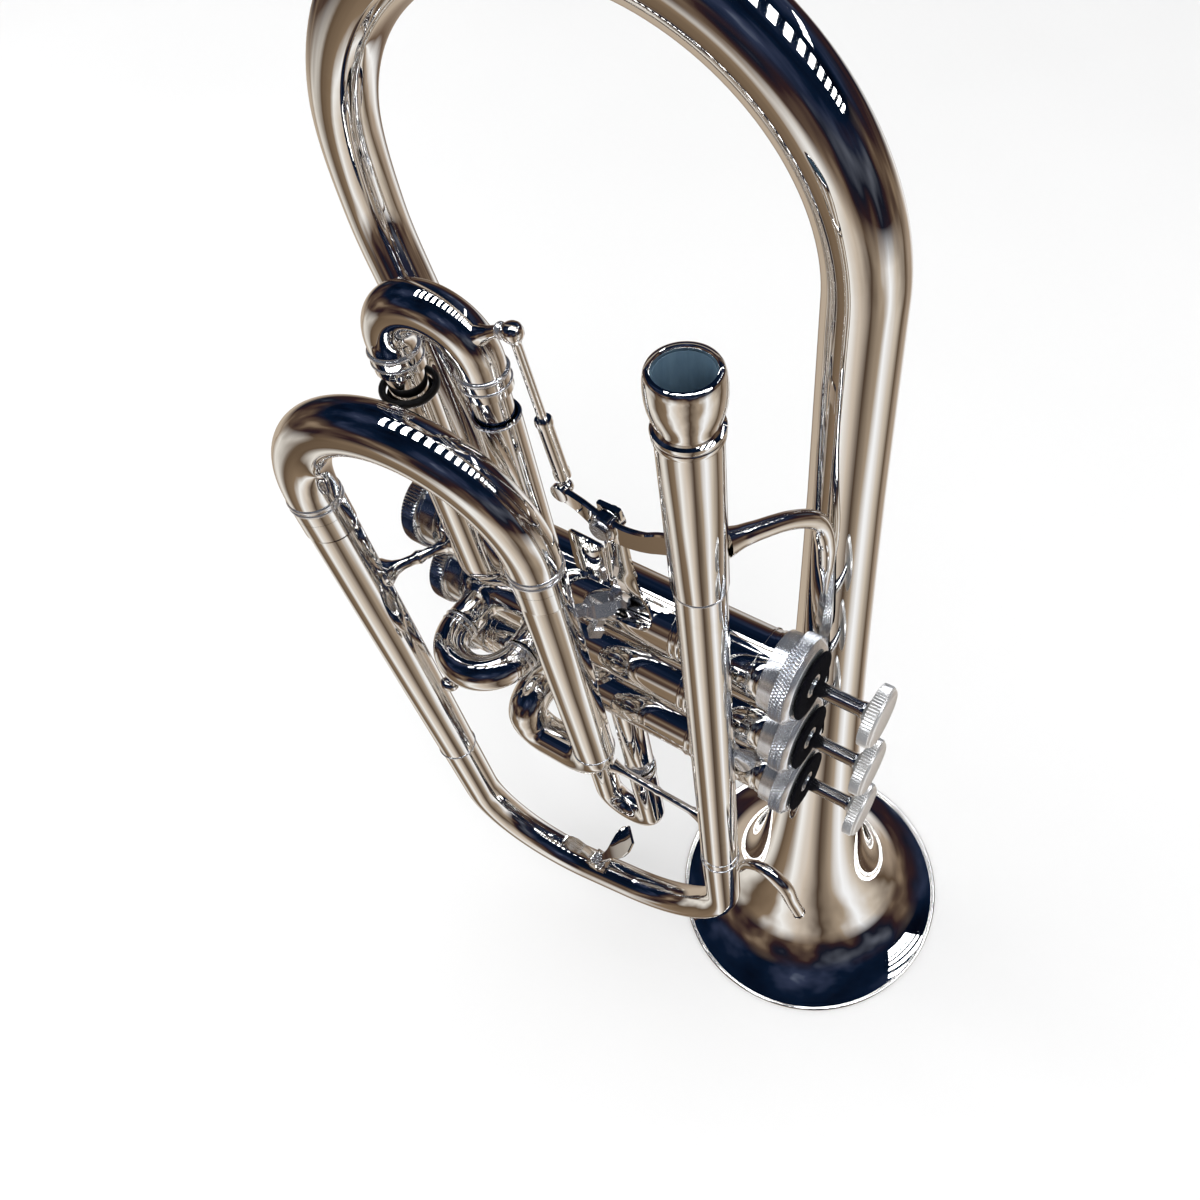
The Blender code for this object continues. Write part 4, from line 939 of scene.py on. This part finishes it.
def make_water_key():
    x, top = KEY_X, BOW_BOTTOM + BOW_R
    y = LOWER_Y + (LEADPIPE_Y - LOWER_Y) * (x - LOWER_X) / (LEADPIPE_FRONT_X - LOWER_X)
    shells = [strip([(x - 4.5, y, top + 1.1), (x, y, top + 1.3), (x + 4.5, y, top + 1.1)],
                    [6.0, 7.0, 6.0], 2.2, Z_AXIS, 0.5)]
    for end in (-3.2, 3.2):
        shells.append(strip([(x, y + end, top + 1.4), (x, y + end, top + 6.6)], [4.4, 3.2], 0.9,
                            Y_AXIS, 0.25))
    steps, coil_width = 64, 4.6
    turns = [Vector((x + KEY_COIL_R * cos(pi * i / 8), y - 2.3 + coil_width * i / steps,
                     top + KEY_AXIS + KEY_COIL_R * sin(pi * i / 8))) for i in range(steps + 1)]
    shells.append((pipe(turns, 0.42, None, 10), ring_silver))
    plated("key_saddle", "water_key_saddle", shells)
    route = smooth([(x + 12, y + 11, top + 22.5), (x + 9.2, y + 8, top + 17.2),
                    (x + 6, y + 4.6, top + 11.6), (x + 3, y + 1.6, top + 7.4), (x, y, top + 5.4),
                    (x - 9, y, top + 5.2), (x - 17, y, top + 5.4)], 8)
    shells = [strip(route, [8.0, 11.4, 11.4, 8.6, 5.0, 3.6, 3.2, 3.4, 5.2, 6.2, 3.4], 1.3, Z_AXIS,
                    0.35),
              lathe((x - 14, y, top + 5.1), -Z_AXIS, [(0, 2.9), (1.8, 2.9), (2.0, 2.7)],
                    hollow=False, sides=36)]
    plated("key_lever", "water_key_lever", shells, "water_key")


def dress_kept_nodes():
    """The pistons and springs keep their solids and get a finer finish."""
    for number in VALVES:
        for name in ("piston_%d" % number, "valve_spring_%d" % number):
            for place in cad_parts[name].material_slots:
                place.material = steel


# ---------------------------------------------------------------- stage

def make_stage():
    """A pale floor under the bell's rim; the soft light is the world's and two lamps'."""
    tool = bmesh.new()
    bmesh.ops.create_grid(tool, x_segments=2, y_segments=2, size=FLOOR_HALF)
    mesh = bpy.data.meshes.new("floor")
    tool.to_mesh(mesh)
    tool.free()
    floor = bpy.data.objects.new("floor", mesh)
    bpy.context.collection.objects.link(floor)
    floor.location.z = -FLOOR_DROP
    made = Nodes("pale_floor")
    greys = [(0.3, (0.79, 0.79, 0.79)), (0.7, (0.81, 0.81, 0.81))]
    made.feed(made.shader.inputs["Base Color"], made.ramp(made.noise(3.0, 2.0), greys))
    made.shader.inputs["Roughness"].default_value = 0.9
    mesh.materials.append(made.made)
    floor.visible_glossy = False


class Sky(Nodes):
    """The same for the world's node tree, with sums and mixes."""

    def __init__(self):
        world = bpy.data.worlds.new("studio")
        world.use_nodes = True
        bpy.context.scene.world = world
        self.made, self.tree = world, world.node_tree
        self.place = self.add("ShaderNodeTexCoord").outputs["Generated"]

    def math(self, operation, *values):
        node = self.tree.nodes.new("ShaderNodeMath")
        node.operation = operation
        for socket, value in zip(node.inputs, values):
            self.feed(socket, value)
        return node.outputs[0]

    def mix(self, share, first, second):
        node = self.tree.nodes.new("ShaderNodeMix")
        node.data_type = "RGBA"
        self.feed(node.inputs[0], share)
        for socket, value in ((node.inputs[6], first), (node.inputs[7], second)):
            self.feed(socket, (*value, 1.0) if isinstance(value, tuple) else value)
        return node.outputs[2]

    def within(self, value, low, high):
        above = self.math("GREATER_THAN", value, low)
        return self.math("MULTIPLY", above, self.math("LESS_THAN", value, high))

    def fade(self, value, start, end):
        node = self.add("ShaderNodeMapRange", Value=value)
        node.inputs["From Min"].default_value, node.inputs["From Max"].default_value = start, end
        return node.outputs["Result"]


def make_world():
    """What the plating mirrors: a dark ceiling with rows of small lamps over a warm room.
    Other rays see a plain pale surround."""
    sky = Sky()
    split = sky.add("ShaderNodeSeparateXYZ", Vector=sky.place)
    x, y, z = split.outputs
    turn = sky.math("ADD", sky.math("DIVIDE", sky.math("ARCTAN2", y, x), 2 * pi), 0.5)
    wobble = sky.math("MULTIPLY", sky.math("SUBTRACT", sky.noise(2.2, 2.0), 0.5), 0.10)
    sector = sky.math("FRACT", sky.math("ADD", turn, wobble))
    horizon = sky.ramp(sector, HORIZON)
    wall = sky.ramp(sky.noise(1.7, 2.0, 0.5), WALL)
    ceiling = sky.ramp(sky.noise(1.6, 3.0, 0.55), CEILING)
    up = sky.math("MAXIMUM", z, 0.02)
    u, v = sky.math("DIVIDE", x, up), sky.math("DIVIDE", y, up)
    lamps = None
    for turned, centre_u, centre_v, long, wide, pitch in LAMP_ROWS:
        a = sky.math("ADD", sky.math("MULTIPLY", u, cos(turned)),
                     sky.math("MULTIPLY", v, sin(turned)))
        b = sky.math("SUBTRACT", sky.math("MULTIPLY", v, cos(turned)),
                     sky.math("MULTIPLY", u, sin(turned)))
        row = sky.math("MULTIPLY", sky.within(a, centre_u - long, centre_u + long),
                       sky.within(b, centre_v - wide, centre_v + wide))
        gate = sky.math("LESS_THAN", sky.math("FRACT", sky.math("DIVIDE", a, pitch)), LAMP_LIT)
        slats = sky.math("FRACT", sky.math("DIVIDE", b, LAMP_SLATS))
        gap = sky.math("GREATER_THAN", slats, SLAT_SHARE)
        row = sky.math("MULTIPLY", row, sky.math("MULTIPLY", gate, gap))
        lamps = row if lamps is None else sky.math("MAXIMUM", lamps, row)
    lamps = sky.math("MULTIPLY", lamps, sky.math("GREATER_THAN", z, LAMP_HORIZON))
    room = sky.mix(sky.fade(z, *WALL_FADE), horizon, wall)
    room = sky.mix(sky.fade(z, *CEILING_FADE), room, ceiling)
    room = sky.mix(lamps, room, LAMP_GLOW)
    seen = sky.add("ShaderNodeLightPath").outputs["Is Glossy Ray"]
    colour = sky.mix(seen, (1.0, 1.0, 1.0), room)
    background = sky.tree.nodes["Background"]
    sky.feed(background.inputs["Color"], colour)
    background.inputs["Strength"].default_value = 1.0


def make_lamp(name, place, size, power):
    data = bpy.data.lights.new(name, "AREA")
    data.size, data.energy = size, power
    lamp = bpy.data.objects.new(name, data)
    lamp.location = place
    lamp.visible_glossy = False
    lamp.rotation_euler = (Vector(LAMP_AIM) - Vector(place)).to_track_quat("-Z", "Y").to_euler()
    bpy.context.collection.objects.link(lamp)


def make_camera():
    data = bpy.data.cameras.new("camera")
    data.sensor_width, data.lens = SENSOR, LENS
    data.shift_x, data.shift_y = SHIFT_X, SHIFT_Y
    data.clip_start = CLIP
    camera = bpy.data.objects.new("camera", data)
    turn = Matrix((CAMERA_RIGHT, -CAMERA_DOWN, -CAMERA_FORWARD)).transposed()
    camera.matrix_world = Matrix.Translation(CAMERA_PLACE) @ turn.to_4x4()
    bpy.context.collection.objects.link(camera)
    bpy.context.scene.camera = camera


def build():
    for number in VALVES:
        make_casing(number)
        make_caps(number)
        make_piston_top(number)
    make_knuckles()
    make_leadpipe()
    make_main_slide()
    make_first_slide()
    make_second_slide()
    make_third_slide()
    make_bell()
    make_trigger()
    make_braces()
    make_hook()
    make_water_key()
    dress_kept_nodes()
    make_stage()
    make_world()
    for lamp in LAMPS:
        make_lamp(*lamp)
    make_camera()
    bpy.context.scene.view_settings.view_transform = "Standard"


build()
